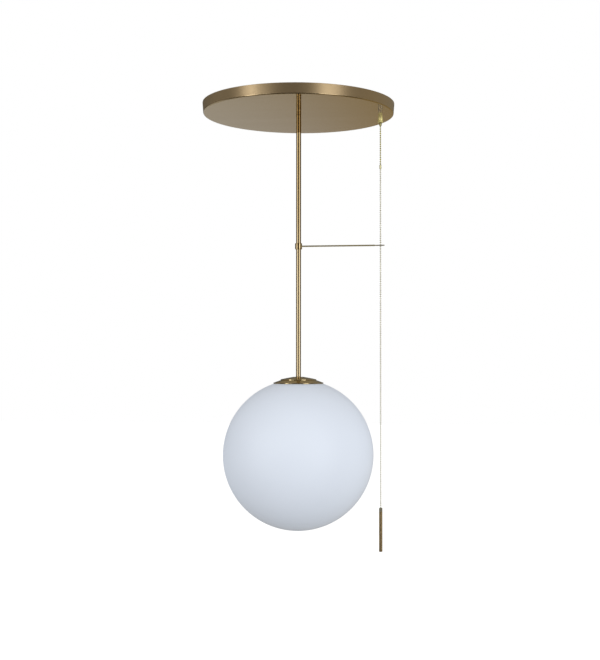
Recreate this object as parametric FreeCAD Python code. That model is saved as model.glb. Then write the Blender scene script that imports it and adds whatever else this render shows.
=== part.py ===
import FreeCAD, Part
import math
import os

V = FreeCAD.Vector

# Sizes in millimetres. Z is up, the ceiling plane is z = 0, the guide arm points along +X.

# Canopy
CANOPY_D = 384.0
CANOPY_FACE_D = 381.0
CANOPY_H = 21.0
CANOPY_SHEET = 1.2
CANOPY_EDGE_R = 1.6

# Ceiling bracket
STRAP_W = 25.0
STRAP_T = 2.0
STRAP_BEND_R = 3.0
TAB_H = 14.0
TAB_CLEARANCE = 0.4
SLOT_SPACING = 80.0
SLOT_L = 26.0
SLOT_W = 5.0
RIM_SCREW_R = 1.95
RIM_SCREW_L = 8.0
RIM_SCREW_DROP = 8.0
RIM_SCREW_SINK = 0.2
RIM_HOLE_R = 2.2
RIM_SCREW_SOCKET = 2.0

# Stem rod and its threaded nipples
ROD_D = 10.0
ROD_BORE = 7.0
ROD_L = 525.0
ROD_THREAD_D = 8.0
ROD_THREAD_DEPTH = 18.0
NIPPLE_BORE = 5.0
THREAD_GAP = 0.05
SHEET_HOLE_GAP = 0.3
NIPPLE_SHOW = 1.0
NUT_AF = 13.0
NUT_H = 5.0
LOAD_WASHER_D = 70.0
LOAD_WASHER_T = 3.0
EARTH_TAG_R = 8.0
EARTH_TAG_T = 0.8
EARTH_TAG_TONGUE_W = 4.0
EARTH_BARREL_R = 1.8
EARTH_BARREL_FROM = 13.0
EARTH_BARREL_L = 9.0

# Terminal block
BLOCK_INSET = 90.5
BLOCK_L = 18.0
BLOCK_W = 30.0
BLOCK_H = 12.0
BLOCK_EDGE_R = 1.5
POLE_PITCH = 10.0
POLE_DROP = 6.0
BARREL_R = 2.6
BARREL_BORE_R = 1.6
BARREL_L = 16.0
TERMINAL_SCREW_R = 1.4
TERMINAL_SCREW_X = 4.5
BLOCK_SCREW_R = 1.45
BLOCK_SCREW_HEAD_R = 2.6
BLOCK_SCREW_HEAD_T = 1.8

# Wires
WIRE_R = 0.9
WIRE_BEND = 5.0
WIRE_PAIR_X = 1.15
WIRE_TERMINAL_BEND = 3.0
FLOOR_LIFT = 0.1
WIRE_LEAVE = 24.0
NEUTRAL_LEAVE = 26.0
WIRE_LAND = 42.0
LIVE_SPREAD = 10.0
NEUTRAL_SPREAD = 4.0
EARTH_SPREAD = 12.0
LIVE_ROUND_WASHER = 10.0
LIVE_TURN_BACK = 40.0
LIVE_TURN_Y = 22.0
LIVE_SWEEP = 30.0
CASE_APPROACH = 13.0
CASE_ENTRY_BEND = 3.0
SWITCHED_FAR = (27.0, 14.0)
SWITCHED_NEAR = (11.0, 10.0)
NEUTRAL_NEAR = (11.0, 5.0)
SWITCHED_LIFT_Y = 5.0
NEUTRAL_LIFT_Y = 3.0
WASHER_LIFT_IN = 1.0
WASHER_LIFT = 1.5
NUT_OVER = 20.0
EARTH_SIDE = 22.0
EARTH_OUT = 14.0
EARTH_IN = 8.0
EARTH_SWEEP = 16.0
EARTH_BEND = 6.0

# Pull switch
CHAIN_INSET = 25.7
CASE_IN = 14.0
CASE_OUT = 13.0
CASE_W = 18.0
CASE_H = 14.3
CASE_WALL = 1.5
COVER_T = 1.5
COVER_SCREW_R = 1.2
COVER_SCREW_L = 8.0
COVER_SCREW_HEAD_R = 2.2
COVER_SCREW_HEAD_T = 1.1
COVER_BOSS_R = 2.4
BUSH_R = 2.6
BUSH_BORE_R = 1.95
BUSH_L = 15.7
BUSH_FLANGE_R = 4.0
BUSH_FLANGE_T = 1.0
PLUNGER_HEAD_R = 4.2
PLUNGER_HEAD_T = 1.5
PLUNGER_HEAD_GAP = 0.5
PLUNGER_STEM_R = 1.6
PLUNGER_L = 11.0
SPRING_MEAN_R = 3.0
SPRING_WIRE_R = 0.25
SPRING_TURNS = 6
SPRING_SEAT_GAP = 0.05
ROTOR_OFFSET = 8.4
ROTOR_DROP = 12.0
ROTOR_R = 3.4
ROTOR_ROOT_R = 2.5
ROTOR_TEETH = 8
ROTOR_L = 5.6
AXLE_R = 0.75
AXLE_RUN_GAP = 0.1
BLADE_T = 0.5
BLADE_W = 3.0
BLADE_Y = 4.2
BLADE_TOP = 9.0
WIRE_ENTRY_Y = 5.6
WIRE_ENTRY_GAP = 0.2
BELL_NECK_R = 3.3
BELL_NECK_H = 1.5
BELL_TAPER_H = 8.5
BELL_WAIST_R = 4.9
BELL_MOUTH_R = 5.3
BELL_H = 19.8
BELL_MOUTH_WALL = 0.9

# Pull chain
BEAD_R = 1.6
BEAD_PITCH = 4.3
LINK_R = 0.45
CHAIN_HOLE_R = 0.6
CHAIN_HOLE_DEPTH = 1.5
CHAIN_END = 2.2
SWIVEL_GAP = 0.1
COUPLING_1_GAP = 0.4
COUPLING_1_R = 2.75
COUPLING_1_H = 5.5
COUPLING_2_R = 2.0
COUPLING_2_H = 8.0
COUPLING_2_DROP = 125.0
SWIVEL_BELOW_ARM = 3.0
HANDLE_R = 3.4
HANDLE_TOP = 804.9
HANDLE_L = 85.7
FERRULE_H = 7.0
FERRULE_SPIGOT_R = 2.5
FERRULE_SPIGOT_L = 5.0
FERRULE_TOP_WALL = 1.2
FERRULE_BORE_R = 1.95
HANDLE_BORE_DEPTH = 9.0

# Guide arm
COLLAR_D = 14.0
COLLAR_H = 12.5
COLLAR_EDGE_R = 1.0
COLLAR_FIT = 0.03
ARM_DROP = 264.0
ARM_R = 1.5
ARM_SOCKET_GAP = 0.05
PADDLE_BACK = 15.0
PADDLE_SHOULDER = 7.5
PADDLE_OVER = 8.0
ARM_INTO_PADDLE = 3.0
PADDLE_W = 7.0
PADDLE_T = 1.6
EYE_R = 2.4
COLLAR_SCREW_R = 1.45
COLLAR_SCREW_SOCKET = 1.5

# Globe and its cap
CAP_R = 50.0
CAP_H = 13.5
CAP_LIP = 1.5
CAP_SHEET = 1.2
CAP_FLAT_R = 9.0
CAP_FLAT_DROP = 0.1
CAP_MID_R = 21.0
CAP_MID_DROP = 2.2
CAP_SHOULDER_R = 29.0
CAP_SHOULDER_DROP = 3.8
CAP_DOME_ROUND = 60.0
CAP_STEP_TOP_R = 34.6
CAP_STEP_TOP_H = 8.3
CAP_STEP_FOOT_R = 36.2
CAP_STEP_FOOT_H = 7.1
GLOBE_D = 300.0
GLOBE_WALL = 3.5
GLOBE_HOLE_R = 41.5
GLOBE_GAP = 0.3
GLOBE_RIM_R = 0.8
FITTER_HUB_R = 8.0
FITTER_HUB_H = 7.0
FITTER_R = 38.0
FITTER_T = 2.0
FITTER_SKIRT_H = 11.0
RING_FLANGE_R = 42.8
RING_FLANGE_T = 0.8
RING_LIFT = 0.05
RING_H = 10.4
RING_RUN_GAP = 0.3
GASKET_IN_R = 46.2
GASKET_OUT_R = 48.2
GASKET_T = 0.5
GASKET_LIFT = 0.2

# Lampholder and lamp
HOLDER_R = 19.0
HOLDER_CAP_H = 26.0
HOLDER_WALL = 1.8
HOLDER_BOSS_R = 8.0
HOLDER_THREAD = 9.0
INSERT_R = 16.5
INSERT_H = 10.0
INSERT_INTO_CAP = 6.0
SKIRT_R = 19.5
SKIRT_H = 35.0
TERMINAL_X = 8.5
SHELL_R = 13.9
SHELL_T = 0.5
SHELL_H = 24.0
CONTACT_L = 11.0
CONTACT_W = 5.0
CONTACT_T = 0.6
CONTACT_RISE = 1.6
BASE_R = 13.1
BASE_L = 24.0
BASE_GAP = 0.3
LAMP_R = 30.0
LAMP_BALL_DROP = 76.0
LAMP_NECK_R = 14.0
LAMP_WALL = 1.0

CANOPY_FACE_Z = -CANOPY_H
CANOPY_FLOOR_Z = CANOPY_FACE_Z + CANOPY_SHEET
ROD_BOTTOM_Z = CANOPY_FACE_Z - ROD_L
NIPPLE_R = ROD_THREAD_D / 2 - THREAD_GAP
NIPPLE_HOLE_R = ROD_THREAD_D / 2 + SHEET_HOLE_GAP
ARM_Z = CANOPY_FACE_Z - ARM_DROP
CLEAR_R = min(CANOPY_D, CANOPY_FACE_D) / 2
CHAIN_X = CLEAR_R - CHAIN_INSET
BLOCK_X = BLOCK_INSET - CLEAR_R
PADDLE_FROM = CHAIN_X - PADDLE_BACK
PADDLE_FULL = CHAIN_X - PADDLE_SHOULDER
PADDLE_TIP = CHAIN_X + PADDLE_OVER


def rounded(points, closed):
    """A wire through (vector, corner radius) points: straight runs joined by tangent arcs."""
    count = len(points)
    joins = []
    for i in range(count):
        corner, radius = points[i]
        at_end = not closed and i in (0, count - 1)
        if radius <= 0 or at_end:
            joins.append((corner, None, corner))
            continue
        back = (points[i - 1][0] - corner).normalize()
        ahead = (points[(i + 1) % count][0] - corner).normalize()
        half = back.getAngle(ahead) / 2
        inward = (back + ahead).normalize()
        reach = radius / math.tan(half)
        centre = corner + inward * (radius / math.sin(half))
        joins.append((corner + back * reach, centre - inward * radius, corner + ahead * reach))
    edges = []
    for i in range(count):
        start, middle, end = joins[i]
        if middle is not None:
            edges.append(Part.Arc(start, middle, end).toShape())
        if closed or i < count - 1:
            following = joins[(i + 1) % count][0]
            if end.distanceToPoint(following) > 1e-6:
                edges.append(Part.makeLine(end, following))
    return Part.Wire(edges)


def positive(solid):
    if solid.Volume < 0:
        solid.reverse()
    return solid


def turned(profile, x=0.0, y=0.0):
    """A solid turned about the vertical axis at x, y from (radius, z, corner radius) points."""
    points = [(V(p[0], 0, p[1]), p[2] if len(p) > 2 else 0) for p in profile]
    solid = Part.Face(rounded(points, True)).revolve(V(0, 0, 0), V(0, 0, 1), 360)
    solid.translate(V(x, y, 0))
    return positive(solid)


def tube(outer, inner, top, bottom, x=0.0, y=0.0, edge=0.0):
    return turned([(inner, top), (outer, top, edge), (outer, bottom, edge), (inner, bottom)], x, y)


def disc(radius, top, bottom, x=0.0, y=0.0, edge=0.0):
    return turned([(0, top), (radius, top, edge), (radius, bottom, edge), (0, bottom)], x, y)


def block(x0, x1, y0, y1, z0, z1):
    return Part.makeBox(x1 - x0, y1 - y0, z1 - z0, V(x0, y0, z0))


def bar(start, along, radius, length):
    return Part.makeCylinder(radius, length, V(*start), V(*along))


def hexagon(across, base, along, depth):
    """A hexagonal prism of the given width across flats, from base along a vector."""
    way = V(*along).normalize()
    side = V(0, 0, 1).cross(way)
    if side.Length < 0.5:
        side = V(1, 0, 0)
    side.normalize()
    other = way.cross(side)
    radius = across / math.sqrt(3)
    corners = []
    for i in range(6):
        angle = math.radians(60 * i)
        corners.append(V(*base) + side * (radius * math.cos(angle)) + other * (radius * math.sin(angle)))
    return positive(Part.Face(Part.makePolygon(corners + corners[:1])).extrude(way * depth))


def nut(across, bore, top, bottom):
    body = hexagon(across, (0, 0, bottom), (0, 0, 1), top - bottom)
    crown = across / math.sqrt(3) - 0.35
    full = across / math.sqrt(3) + 1.0
    upper = [(0, top), (crown, top), (full, top - 0.8)]
    lower = [(full, bottom + 0.8), (crown, bottom), (0, bottom)]
    cone = turned(upper + lower)
    return body.common(cone).cut(disc(bore, top + 1, bottom - 1))


def pipe(points, bend, radius):
    """A round wire along straight runs with tangent bends; a point may carry its own bend radius."""
    path = rounded([(V(*p[:3]), p[3] if len(p) > 3 else bend) for p in points], False)
    start = V(*points[0][:3])
    ring = Part.Wire(Part.makeCircle(radius, start, V(*points[1][:3]) - start))
    return positive(path.makePipeShell([ring], True, False))


def corner_arc(start, corner, end):
    back = start - corner
    reach = back.Length
    back = back.normalize()
    ahead = (end - corner).normalize()
    half = back.getAngle(ahead) / 2
    inward = (back + ahead).normalize()
    radius = reach * math.tan(half)
    middle = corner + inward * (radius / math.sin(half) - radius)
    return Part.Arc(start, middle, end).toShape()


def coil(x, mean, wire, bottom, top, turns):
    """A helical spring laid along pairs of tangent arcs, a quarter turn to each pair."""
    rise = top - bottom
    steps = turns * 4
    slope = rise / (2 * math.pi * turns)
    knots = []
    for i in range(steps + 1):
        angle = math.pi / 2 * i
        place = V(x + mean * math.cos(angle), mean * math.sin(angle), bottom + rise * i / steps)
        way = V(-mean * math.sin(angle), mean * math.cos(angle), slope).normalize()
        knots.append((place, way))
    edges = []
    for (p0, t0), (p1, t1) in zip(knots, knots[1:]):
        gap = p1 - p0
        a = 2 * (1 - t0.dot(t1))
        b = 2 * gap.dot(t0 + t1)
        reach = (-b + math.sqrt(b * b + 4 * a * gap.dot(gap))) / (2 * a)
        q0 = p0 + t0 * reach
        q1 = p1 - t1 * reach
        middle = (q0 + q1) * 0.5
        edges.append(corner_arc(p0, q0, middle))
        edges.append(corner_arc(middle, q1, p1))
    ring = Part.Wire(Part.makeCircle(wire, knots[0][0], knots[0][1]))
    return positive(Part.Wire(edges).makePipeShell([ring], True, False))


def beads(x, top, first, last, bottom):
    """A bead chain on a vertical line: beads from first to last, thin links from top to bottom."""
    count = max(1, round((first - last) / BEAD_PITCH))
    step = (first - last) / count
    half = math.sqrt(BEAD_R ** 2 - LINK_R ** 2)
    place = V(LINK_R, 0, top)
    edges = [Part.makeLine(V(0, 0, top), place)]
    ends_in_bead = bottom > last - BEAD_R
    for i in range(count + 1):
        z = first - step * i
        upper = V(LINK_R, 0, z + half)
        edges.append(Part.makeLine(place, upper))
        closing = ends_in_bead and i == count
        place = V(0, 0, z - BEAD_R) if closing else V(LINK_R, 0, z - half)
        edges.append(Part.Arc(upper, V(BEAD_R, 0, z), place).toShape())
    if not ends_in_bead:
        foot = V(LINK_R, 0, bottom)
        edges.append(Part.makeLine(place, foot))
        edges.append(Part.makeLine(foot, V(0, 0, bottom)))
        place = V(0, 0, bottom)
    edges.append(Part.makeLine(place, V(0, 0, top)))
    solid = Part.Face(Part.Wire(edges)).revolve(V(0, 0, 0), V(0, 0, 1), 360)
    solid.translate(V(x, 0, 0))
    return positive(solid)


def meet(a, b, c, d):
    """Where the line through a, b crosses the line through c, d, as (radius, z)."""
    ux, uz = b[0] - a[0], b[1] - a[1]
    vx, vz = d[0] - c[0], d[1] - c[1]
    t = ((c[0] - a[0]) * vz - (c[1] - a[1]) * vx) / (ux * vz - uz * vx)
    return (a[0] + ux * t, a[1] + uz * t)


def sheet(outer, wall, side):
    """A closed profile of even thickness from an open outer profile that starts on the axis.

    side is +1 when the inside of the sheet lies to the left of the outer profile, -1 to the right.
    """
    lines = []
    for a, b in zip(outer, outer[1:]):
        run = math.hypot(b[0] - a[0], b[1] - a[1])
        nx = -(b[1] - a[1]) / run * side * wall
        nz = (b[0] - a[0]) / run * side * wall
        lines.append(((a[0] + nx, a[1] + nz), (b[0] + nx, b[1] + nz)))
    inner = [(0.0, meet(lines[0][0], lines[0][1], (0, 0), (0, 1))[1], 0)]
    for i in range(len(lines) - 1):
        r, z = meet(lines[i][0], lines[i][1], lines[i + 1][0], lines[i + 1][1])
        a, b, c = outer[i], outer[i + 1], outer[i + 2]
        turn = (b[0] - a[0]) * (c[1] - b[1]) - (b[1] - a[1]) * (c[0] - b[0])
        towards = turn * side > 0
        radius = b[2]
        if radius > 0:
            radius = max(radius - wall, 0.3) if towards else radius + wall
        inner.append((r, z, radius))
    end = outer[-1]
    r, z = meet(lines[-1][0], lines[-1][1], (0, end[1]), (1, end[1]))
    inner.append((r, z, 0))
    return list(outer) + inner[::-1]


os.makedirs("parts", exist_ok=True)


def save(shape, name):
    shape.exportStep("parts/" + name + ".step")


def group(shapes, name):
    save(Part.makeCompound(shapes), name)


# Canopy: a spun dish, open at the ceiling, with a flat face below.
rim_screw_z = -RIM_SCREW_DROP
canopy_outer = [
    (0.0, CANOPY_FACE_Z, 0),
    (CANOPY_FACE_D / 2, CANOPY_FACE_Z, CANOPY_EDGE_R),
    (CANOPY_D / 2, 0.0, 0),
]
canopy = turned(sheet(canopy_outer, CANOPY_SHEET, 1))
canopy = canopy.cut(disc(NIPPLE_HOLE_R, 0, CANOPY_FACE_Z - 1))
bush_hole_r = BUSH_R + THREAD_GAP + SHEET_HOLE_GAP / 2
canopy = canopy.cut(disc(bush_hole_r, 0, CANOPY_FACE_Z - 1, CHAIN_X))
canopy = canopy.cut(bar((-CANOPY_D, 0, rim_screw_z), (1, 0, 0), RIM_HOLE_R, 2 * CANOPY_D))
save(canopy, "canopy")


def rim_r(z):
    """Outer radius of the canopy rim at height z."""
    return CANOPY_D / 2 + (CANOPY_D - CANOPY_FACE_D) / 2 * z / CANOPY_H


# Ceiling bracket: a strap with two slots, its ends bent down to meet the canopy rim.
tab_reach = rim_r(-TAB_H) - CANOPY_SHEET - TAB_CLEARANCE
tab_x = math.sqrt(tab_reach ** 2 - (STRAP_W / 2) ** 2)
inner_bend = STRAP_BEND_R - STRAP_T
strap_points = [
    (-tab_x, -TAB_H, 0),
    (-tab_x, 0, STRAP_BEND_R),
    (tab_x, 0, STRAP_BEND_R),
    (tab_x, -TAB_H, 0),
    (tab_x - STRAP_T, -TAB_H, 0),
    (tab_x - STRAP_T, -STRAP_T, inner_bend),
    (STRAP_T - tab_x, -STRAP_T, inner_bend),
    (STRAP_T - tab_x, -TAB_H, 0),
]
strap_wire = rounded([(V(p[0], -STRAP_W / 2, p[1]), p[2]) for p in strap_points], True)
bracket = positive(Part.Face(strap_wire).extrude(V(0, STRAP_W, 0)))
slot_half = (SLOT_L - SLOT_W) / 2
for side in (-1, 1):
    x = side * SLOT_SPACING / 2
    bracket = bracket.cut(block(x - slot_half, x + slot_half, -SLOT_W / 2, SLOT_W / 2, -STRAP_T - 1, 1))
    for end in (-slot_half, slot_half):
        bracket = bracket.cut(disc(SLOT_W / 2, 1, -STRAP_T - 1, x + end))
bracket = bracket.cut(bar((-CANOPY_D, 0, rim_screw_z), (1, 0, 0), RIM_SCREW_R + THREAD_GAP, 2 * CANOPY_D))
block_screw_y = POLE_PITCH / 2
bracket = bracket.cut(disc(BLOCK_SCREW_R + THREAD_GAP, 1, -STRAP_T - 1, BLOCK_X, block_screw_y))
save(bracket, "ceiling_bracket")

rim_screws = []
for side in (-1, 1):
    head_x = side * (rim_r(rim_screw_z) - RIM_SCREW_SINK)
    screw = bar((head_x, 0, rim_screw_z), (-side, 0, 0), RIM_SCREW_R, RIM_SCREW_L)
    socket = hexagon(RIM_SCREW_SOCKET, (head_x, 0, rim_screw_z), (-side, 0, 0), RIM_SCREW_SOCKET)
    rim_screws.append(screw.cut(socket))
group(rim_screws, "bracket_grub_screws")

# What clamps the rod to the canopy, inside it.
washer_top = CANOPY_FLOOR_Z + LOAD_WASHER_T
save(tube(LOAD_WASHER_D / 2, NIPPLE_HOLE_R, washer_top, CANOPY_FLOOR_Z), "load_washer")

tag_top = washer_top + EARTH_TAG_T
tag = disc(EARTH_TAG_R, tag_top, washer_top)
barrel_z = washer_top + EARTH_BARREL_R + 0.1
barrel_end = EARTH_BARREL_FROM + EARTH_BARREL_L
tongue = block(
    -EARTH_TAG_TONGUE_W / 2, EARTH_TAG_TONGUE_W / 2, -barrel_end + 1.0, 0, washer_top, tag_top
)
crimp = bar((0, -EARTH_BARREL_FROM, barrel_z), (0, -1, 0), EARTH_BARREL_R, EARTH_BARREL_L)
tag = tag.fuse(tongue).fuse(crimp)
tag = tag.cut(disc(NIPPLE_HOLE_R, tag_top + 1, washer_top - 1))
tag = tag.cut(
    bar((0, -EARTH_BARREL_FROM - 1.0, barrel_z), (0, -1, 0), WIRE_R + THREAD_GAP, EARTH_BARREL_L)
)
save(tag.removeSplitter(), "earth_tag")

lock_top = tag_top + NUT_H
save(nut(NUT_AF, ROD_THREAD_D / 2, lock_top, tag_top), "rod_lock_nut")

nipple_top = lock_top + NIPPLE_SHOW
nipple_bottom = CANOPY_FACE_Z - ROD_THREAD_DEPTH + 0.2
save(tube(NIPPLE_R, NIPPLE_BORE / 2, nipple_top, nipple_bottom, edge=0.4), "rod_top_nipple")

rod = tube(ROD_D / 2, ROD_BORE / 2, CANOPY_FACE_Z, ROD_BOTTOM_Z)
rod = rod.cut(disc(ROD_THREAD_D / 2, CANOPY_FACE_Z + 1, CANOPY_FACE_Z - ROD_THREAD_DEPTH))
rod = rod.cut(disc(ROD_THREAD_D / 2, ROD_BOTTOM_Z + ROD_THREAD_DEPTH, ROD_BOTTOM_Z - 1))
save(rod, "rod")

# Terminal block under the strap.
block_top = -STRAP_T
block_bottom = block_top - BLOCK_H
pole_z = block_top - POLE_DROP
body = block(
    BLOCK_X - BLOCK_L / 2, BLOCK_X + BLOCK_L / 2, -BLOCK_W / 2, BLOCK_W / 2, block_bottom, block_top
)
uprights = [e for e in body.Edges if abs(e.tangentAt(e.FirstParameter).z) > 0.9]
body = body.makeFillet(BLOCK_EDGE_R, uprights)
barrels = []
screws = []
for pole in (-1, 0, 1):
    y = pole * POLE_PITCH
    body = body.cut(bar((BLOCK_X - BLOCK_L, y, pole_z), (1, 0, 0), BARREL_R + THREAD_GAP, 2 * BLOCK_L))
    barrel = bar((BLOCK_X - BARREL_L / 2, y, pole_z), (1, 0, 0), BARREL_R, BARREL_L)
    barrel = barrel.cut(bar((BLOCK_X - BARREL_L, y, pole_z), (1, 0, 0), BARREL_BORE_R, 2 * BARREL_L))
    for side in (-1, 1):
        x = BLOCK_X + side * TERMINAL_SCREW_X
        hole = disc(TERMINAL_SCREW_R + THREAD_GAP, pole_z, block_bottom - 1, x, y)
        body = body.cut(hole)
        barrel = barrel.cut(hole)
        screw = disc(TERMINAL_SCREW_R, pole_z - WIRE_R - THREAD_GAP, block_bottom + 0.5, x, y)
        cross = block(x - 2, x + 2, y - 0.25, y + 0.25, block_bottom, block_bottom + 1.2)
        screws.append(screw.cut(cross))
    barrels.append(barrel)
body = body.cut(disc(BLOCK_SCREW_R + 0.15, block_top + 1, block_bottom - 1, BLOCK_X, block_screw_y))
head_top = block_bottom + BLOCK_SCREW_HEAD_T
body = body.cut(disc(BLOCK_SCREW_HEAD_R + 0.1, head_top, block_bottom - 1, BLOCK_X, block_screw_y))
save(body, "terminal_block")
group(barrels, "terminal_barrels")
group(screws, "terminal_screws")
fixing = disc(BLOCK_SCREW_R, -0.2, head_top - 0.5, BLOCK_X, block_screw_y)
fixing = fixing.fuse(disc(BLOCK_SCREW_HEAD_R, head_top - 0.02, block_bottom + 0.1, BLOCK_X, block_screw_y))
slot_y = (block_screw_y - 0.35, block_screw_y + 0.35)
fixing = fixing.cut(
    block(BLOCK_X - 4, BLOCK_X + 4, slot_y[0], slot_y[1], block_bottom, block_bottom + 0.9)
)
save(fixing, "terminal_block_screw")

# Pull switch in the canopy, on the chain's axis.
case_x0 = CHAIN_X - CASE_IN
case_x1 = CHAIN_X + CASE_OUT
case_top = CANOPY_FLOOR_Z + CASE_H
case_floor = CANOPY_FLOOR_Z + CASE_WALL
case = block(case_x0, case_x1, -CASE_W / 2, CASE_W / 2, CANOPY_FLOOR_Z, case_top)
uprights = [e for e in case.Edges if abs(e.tangentAt(e.FirstParameter).z) > 0.9]
case = case.makeFillet(CASE_WALL, uprights)
case = case.cut(
    block(
        case_x0 + CASE_WALL,
        case_x1 - CASE_WALL,
        -CASE_W / 2 + CASE_WALL,
        CASE_W / 2 - CASE_WALL,
        case_floor,
        case_top + 1,
    )
)
boss_x = case_x1 - CASE_WALL - COVER_BOSS_R + 0.2
boss_y = CASE_W / 2 - CASE_WALL - COVER_BOSS_R + 0.2
wire_entry_z = case_floor + BLADE_T + WIRE_R + WIRE_ENTRY_GAP
for side in (-1, 1):
    case = case.fuse(disc(COVER_BOSS_R, case_top, case_floor - 0.1, boss_x, side * boss_y))
case = case.removeSplitter()
for side in (-1, 1):
    tapped = disc(COVER_SCREW_R + THREAD_GAP, case_top + 1, case_top - COVER_SCREW_L, boss_x, side * boss_y)
    case = case.cut(tapped)
    entry = (case_x0 - 1, side * WIRE_ENTRY_Y, wire_entry_z)
    case = case.cut(bar(entry, (1, 0, 0), WIRE_R + WIRE_ENTRY_GAP, CASE_WALL + 2))
case = case.cut(disc(BUSH_R + THREAD_GAP, case_floor + 1, CANOPY_FLOOR_Z - 1, CHAIN_X))
rotor_x = CHAIN_X - ROTOR_OFFSET
rotor_z = -ROTOR_DROP
axle_half = CASE_W / 2 - CASE_WALL / 2
case = case.cut(
    bar((rotor_x, -axle_half - 0.1, rotor_z), (0, 1, 0), AXLE_R + THREAD_GAP, 2 * axle_half + 0.2)
)
save(case, "switch_case")

cover_top = case_top + COVER_T
cover = block(case_x0, case_x1, -CASE_W / 2, CASE_W / 2, case_top, cover_top)
uprights = [e for e in cover.Edges if abs(e.tangentAt(e.FirstParameter).z) > 0.9]
cover = cover.makeFillet(CASE_WALL, uprights)
cover_screws = []
for side in (-1, 1):
    y = side * boss_y
    cover = cover.cut(disc(COVER_SCREW_R + 0.15, cover_top + 1, case_top - 1, boss_x, y))
    screw = turned(
        [
            (0, cover_top + COVER_SCREW_HEAD_T),
            (COVER_SCREW_HEAD_R, cover_top + COVER_SCREW_HEAD_T, 0.5),
            (COVER_SCREW_HEAD_R, cover_top),
            (COVER_SCREW_R, cover_top),
            (COVER_SCREW_R, case_top - COVER_SCREW_L + 1.2),
            (0, case_top - COVER_SCREW_L + 0.3),
        ],
        boss_x,
        y,
    )
    slot_z = cover_top + COVER_SCREW_HEAD_T
    cross = block(boss_x - 1.4, boss_x + 1.4, y - 0.2, y + 0.2, slot_z - 0.6, slot_z + 1)
    other = block(boss_x - 0.2, boss_x + 0.2, y - 1.4, y + 1.4, slot_z - 0.6, slot_z + 1)
    cover_screws.append(screw.cut(cross).cut(other))
save(cover, "switch_cover")
group(cover_screws, "switch_cover_screws")

flange_top = case_floor + BUSH_FLANGE_T
bush = turned(
    [
        (BUSH_BORE_R, flange_top),
        (BUSH_FLANGE_R, flange_top),
        (BUSH_FLANGE_R, case_floor),
        (BUSH_R, case_floor),
        (BUSH_R, flange_top - BUSH_L, 0.3),
        (BUSH_BORE_R, flange_top - BUSH_L),
    ],
    CHAIN_X,
)
save(bush, "switch_bush")

bell_z = CANOPY_FACE_Z
bell_bottom = bell_z - BELL_H
bell_bore = BUSH_R + THREAD_GAP
bell_step = flange_top - BUSH_L - 0.3
bell = turned(
    [
        (bell_bore, bell_z),
        (BELL_NECK_R, bell_z),
        (BELL_NECK_R, bell_z - BELL_NECK_H, 1.0),
        (BELL_WAIST_R, bell_z - BELL_NECK_H - BELL_TAPER_H, 3.0),
        (BELL_WAIST_R, bell_bottom + 3.4, 4.0),
        (BELL_MOUTH_R, bell_bottom + 0.7, 0.3),
        (BELL_MOUTH_R, bell_bottom, 0.3),
        (BELL_MOUTH_R - BELL_MOUTH_WALL, bell_bottom, 0.2),
        (BELL_WAIST_R - BELL_MOUTH_WALL, bell_bottom + 3.0),
        (BELL_WAIST_R - BELL_MOUTH_WALL, bell_step - 1.6, 1.0),
        (bell_bore, bell_step),
    ],
    CHAIN_X,
)
save(bell, "switch_bell")

plunger_top = case_top - PLUNGER_HEAD_GAP
plunger_seat = plunger_top - PLUNGER_HEAD_T
plunger_bottom = plunger_top - PLUNGER_L
plunger = turned(
    [
        (0, plunger_top),
        (PLUNGER_HEAD_R, plunger_top, 0.3),
        (PLUNGER_HEAD_R, plunger_seat),
        (PLUNGER_STEM_R, plunger_seat),
        (PLUNGER_STEM_R, plunger_bottom, 0.3),
        (CHAIN_HOLE_R, plunger_bottom),
        (CHAIN_HOLE_R, plunger_bottom + CHAIN_HOLE_DEPTH),
        (0, plunger_bottom + CHAIN_HOLE_DEPTH),
    ],
    CHAIN_X,
)
save(plunger, "switch_plunger")
seat = SPRING_WIRE_R + SPRING_SEAT_GAP
save(
    coil(CHAIN_X, SPRING_MEAN_R, SPRING_WIRE_R, flange_top + seat, plunger_seat - seat, SPRING_TURNS),
    "switch_spring",
)

teeth = []
for i in range(ROTOR_TEETH):
    for radius, share in ((ROTOR_ROOT_R, 0.0), (ROTOR_R, 0.35), (ROTOR_R, 0.65)):
        angle = 2 * math.pi * (i + share) / ROTOR_TEETH
        teeth.append(
            V(rotor_x + radius * math.cos(angle), -ROTOR_L / 2, rotor_z + radius * math.sin(angle))
        )
rotor = positive(Part.Face(Part.makePolygon(teeth + teeth[:1])).extrude(V(0, ROTOR_L, 0)))
rotor = rotor.cut(bar((rotor_x, -ROTOR_L, rotor_z), (0, 1, 0), AXLE_R + AXLE_RUN_GAP, 2 * ROTOR_L))
save(rotor, "contact_rotor")
save(bar((rotor_x, -axle_half, rotor_z), (0, 1, 0), AXLE_R, 2 * axle_half), "rotor_axle")
blades = []
for side in (-1, 1):
    y0, y1 = sorted((side * BLADE_Y, side * (BLADE_Y + BLADE_W)))
    x0 = case_x0 + CASE_WALL + 0.5
    x1 = CHAIN_X - BUSH_FLANGE_R - 0.4
    foot = block(x0, x1, y0, y1, case_floor, case_floor + BLADE_T)
    f0, f1 = sorted((side * BLADE_Y, side * (BLADE_Y + BLADE_T)))
    finger = block(x1 - 2.2, x1 - 0.4, f0, f1, case_floor, -BLADE_TOP)
    blades.append(foot.fuse(finger).removeSplitter())
group(blades, "contact_blades")

# Pull chain, from the switch's plunger to the handle.
coupling_1_top = bell_bottom - COUPLING_1_GAP
coupling_1_bottom = coupling_1_top - COUPLING_1_H
coupling_2_top = -COUPLING_2_DROP
coupling_2_bottom = coupling_2_top - COUPLING_2_H
swivel_z = ARM_Z - SWIVEL_BELOW_ARM
swivel_link = BEAD_R + SWIVEL_GAP
handle_top = -HANDLE_TOP
anchor_z = handle_top - FERRULE_TOP_WALL - 0.2 - BEAD_R


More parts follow.
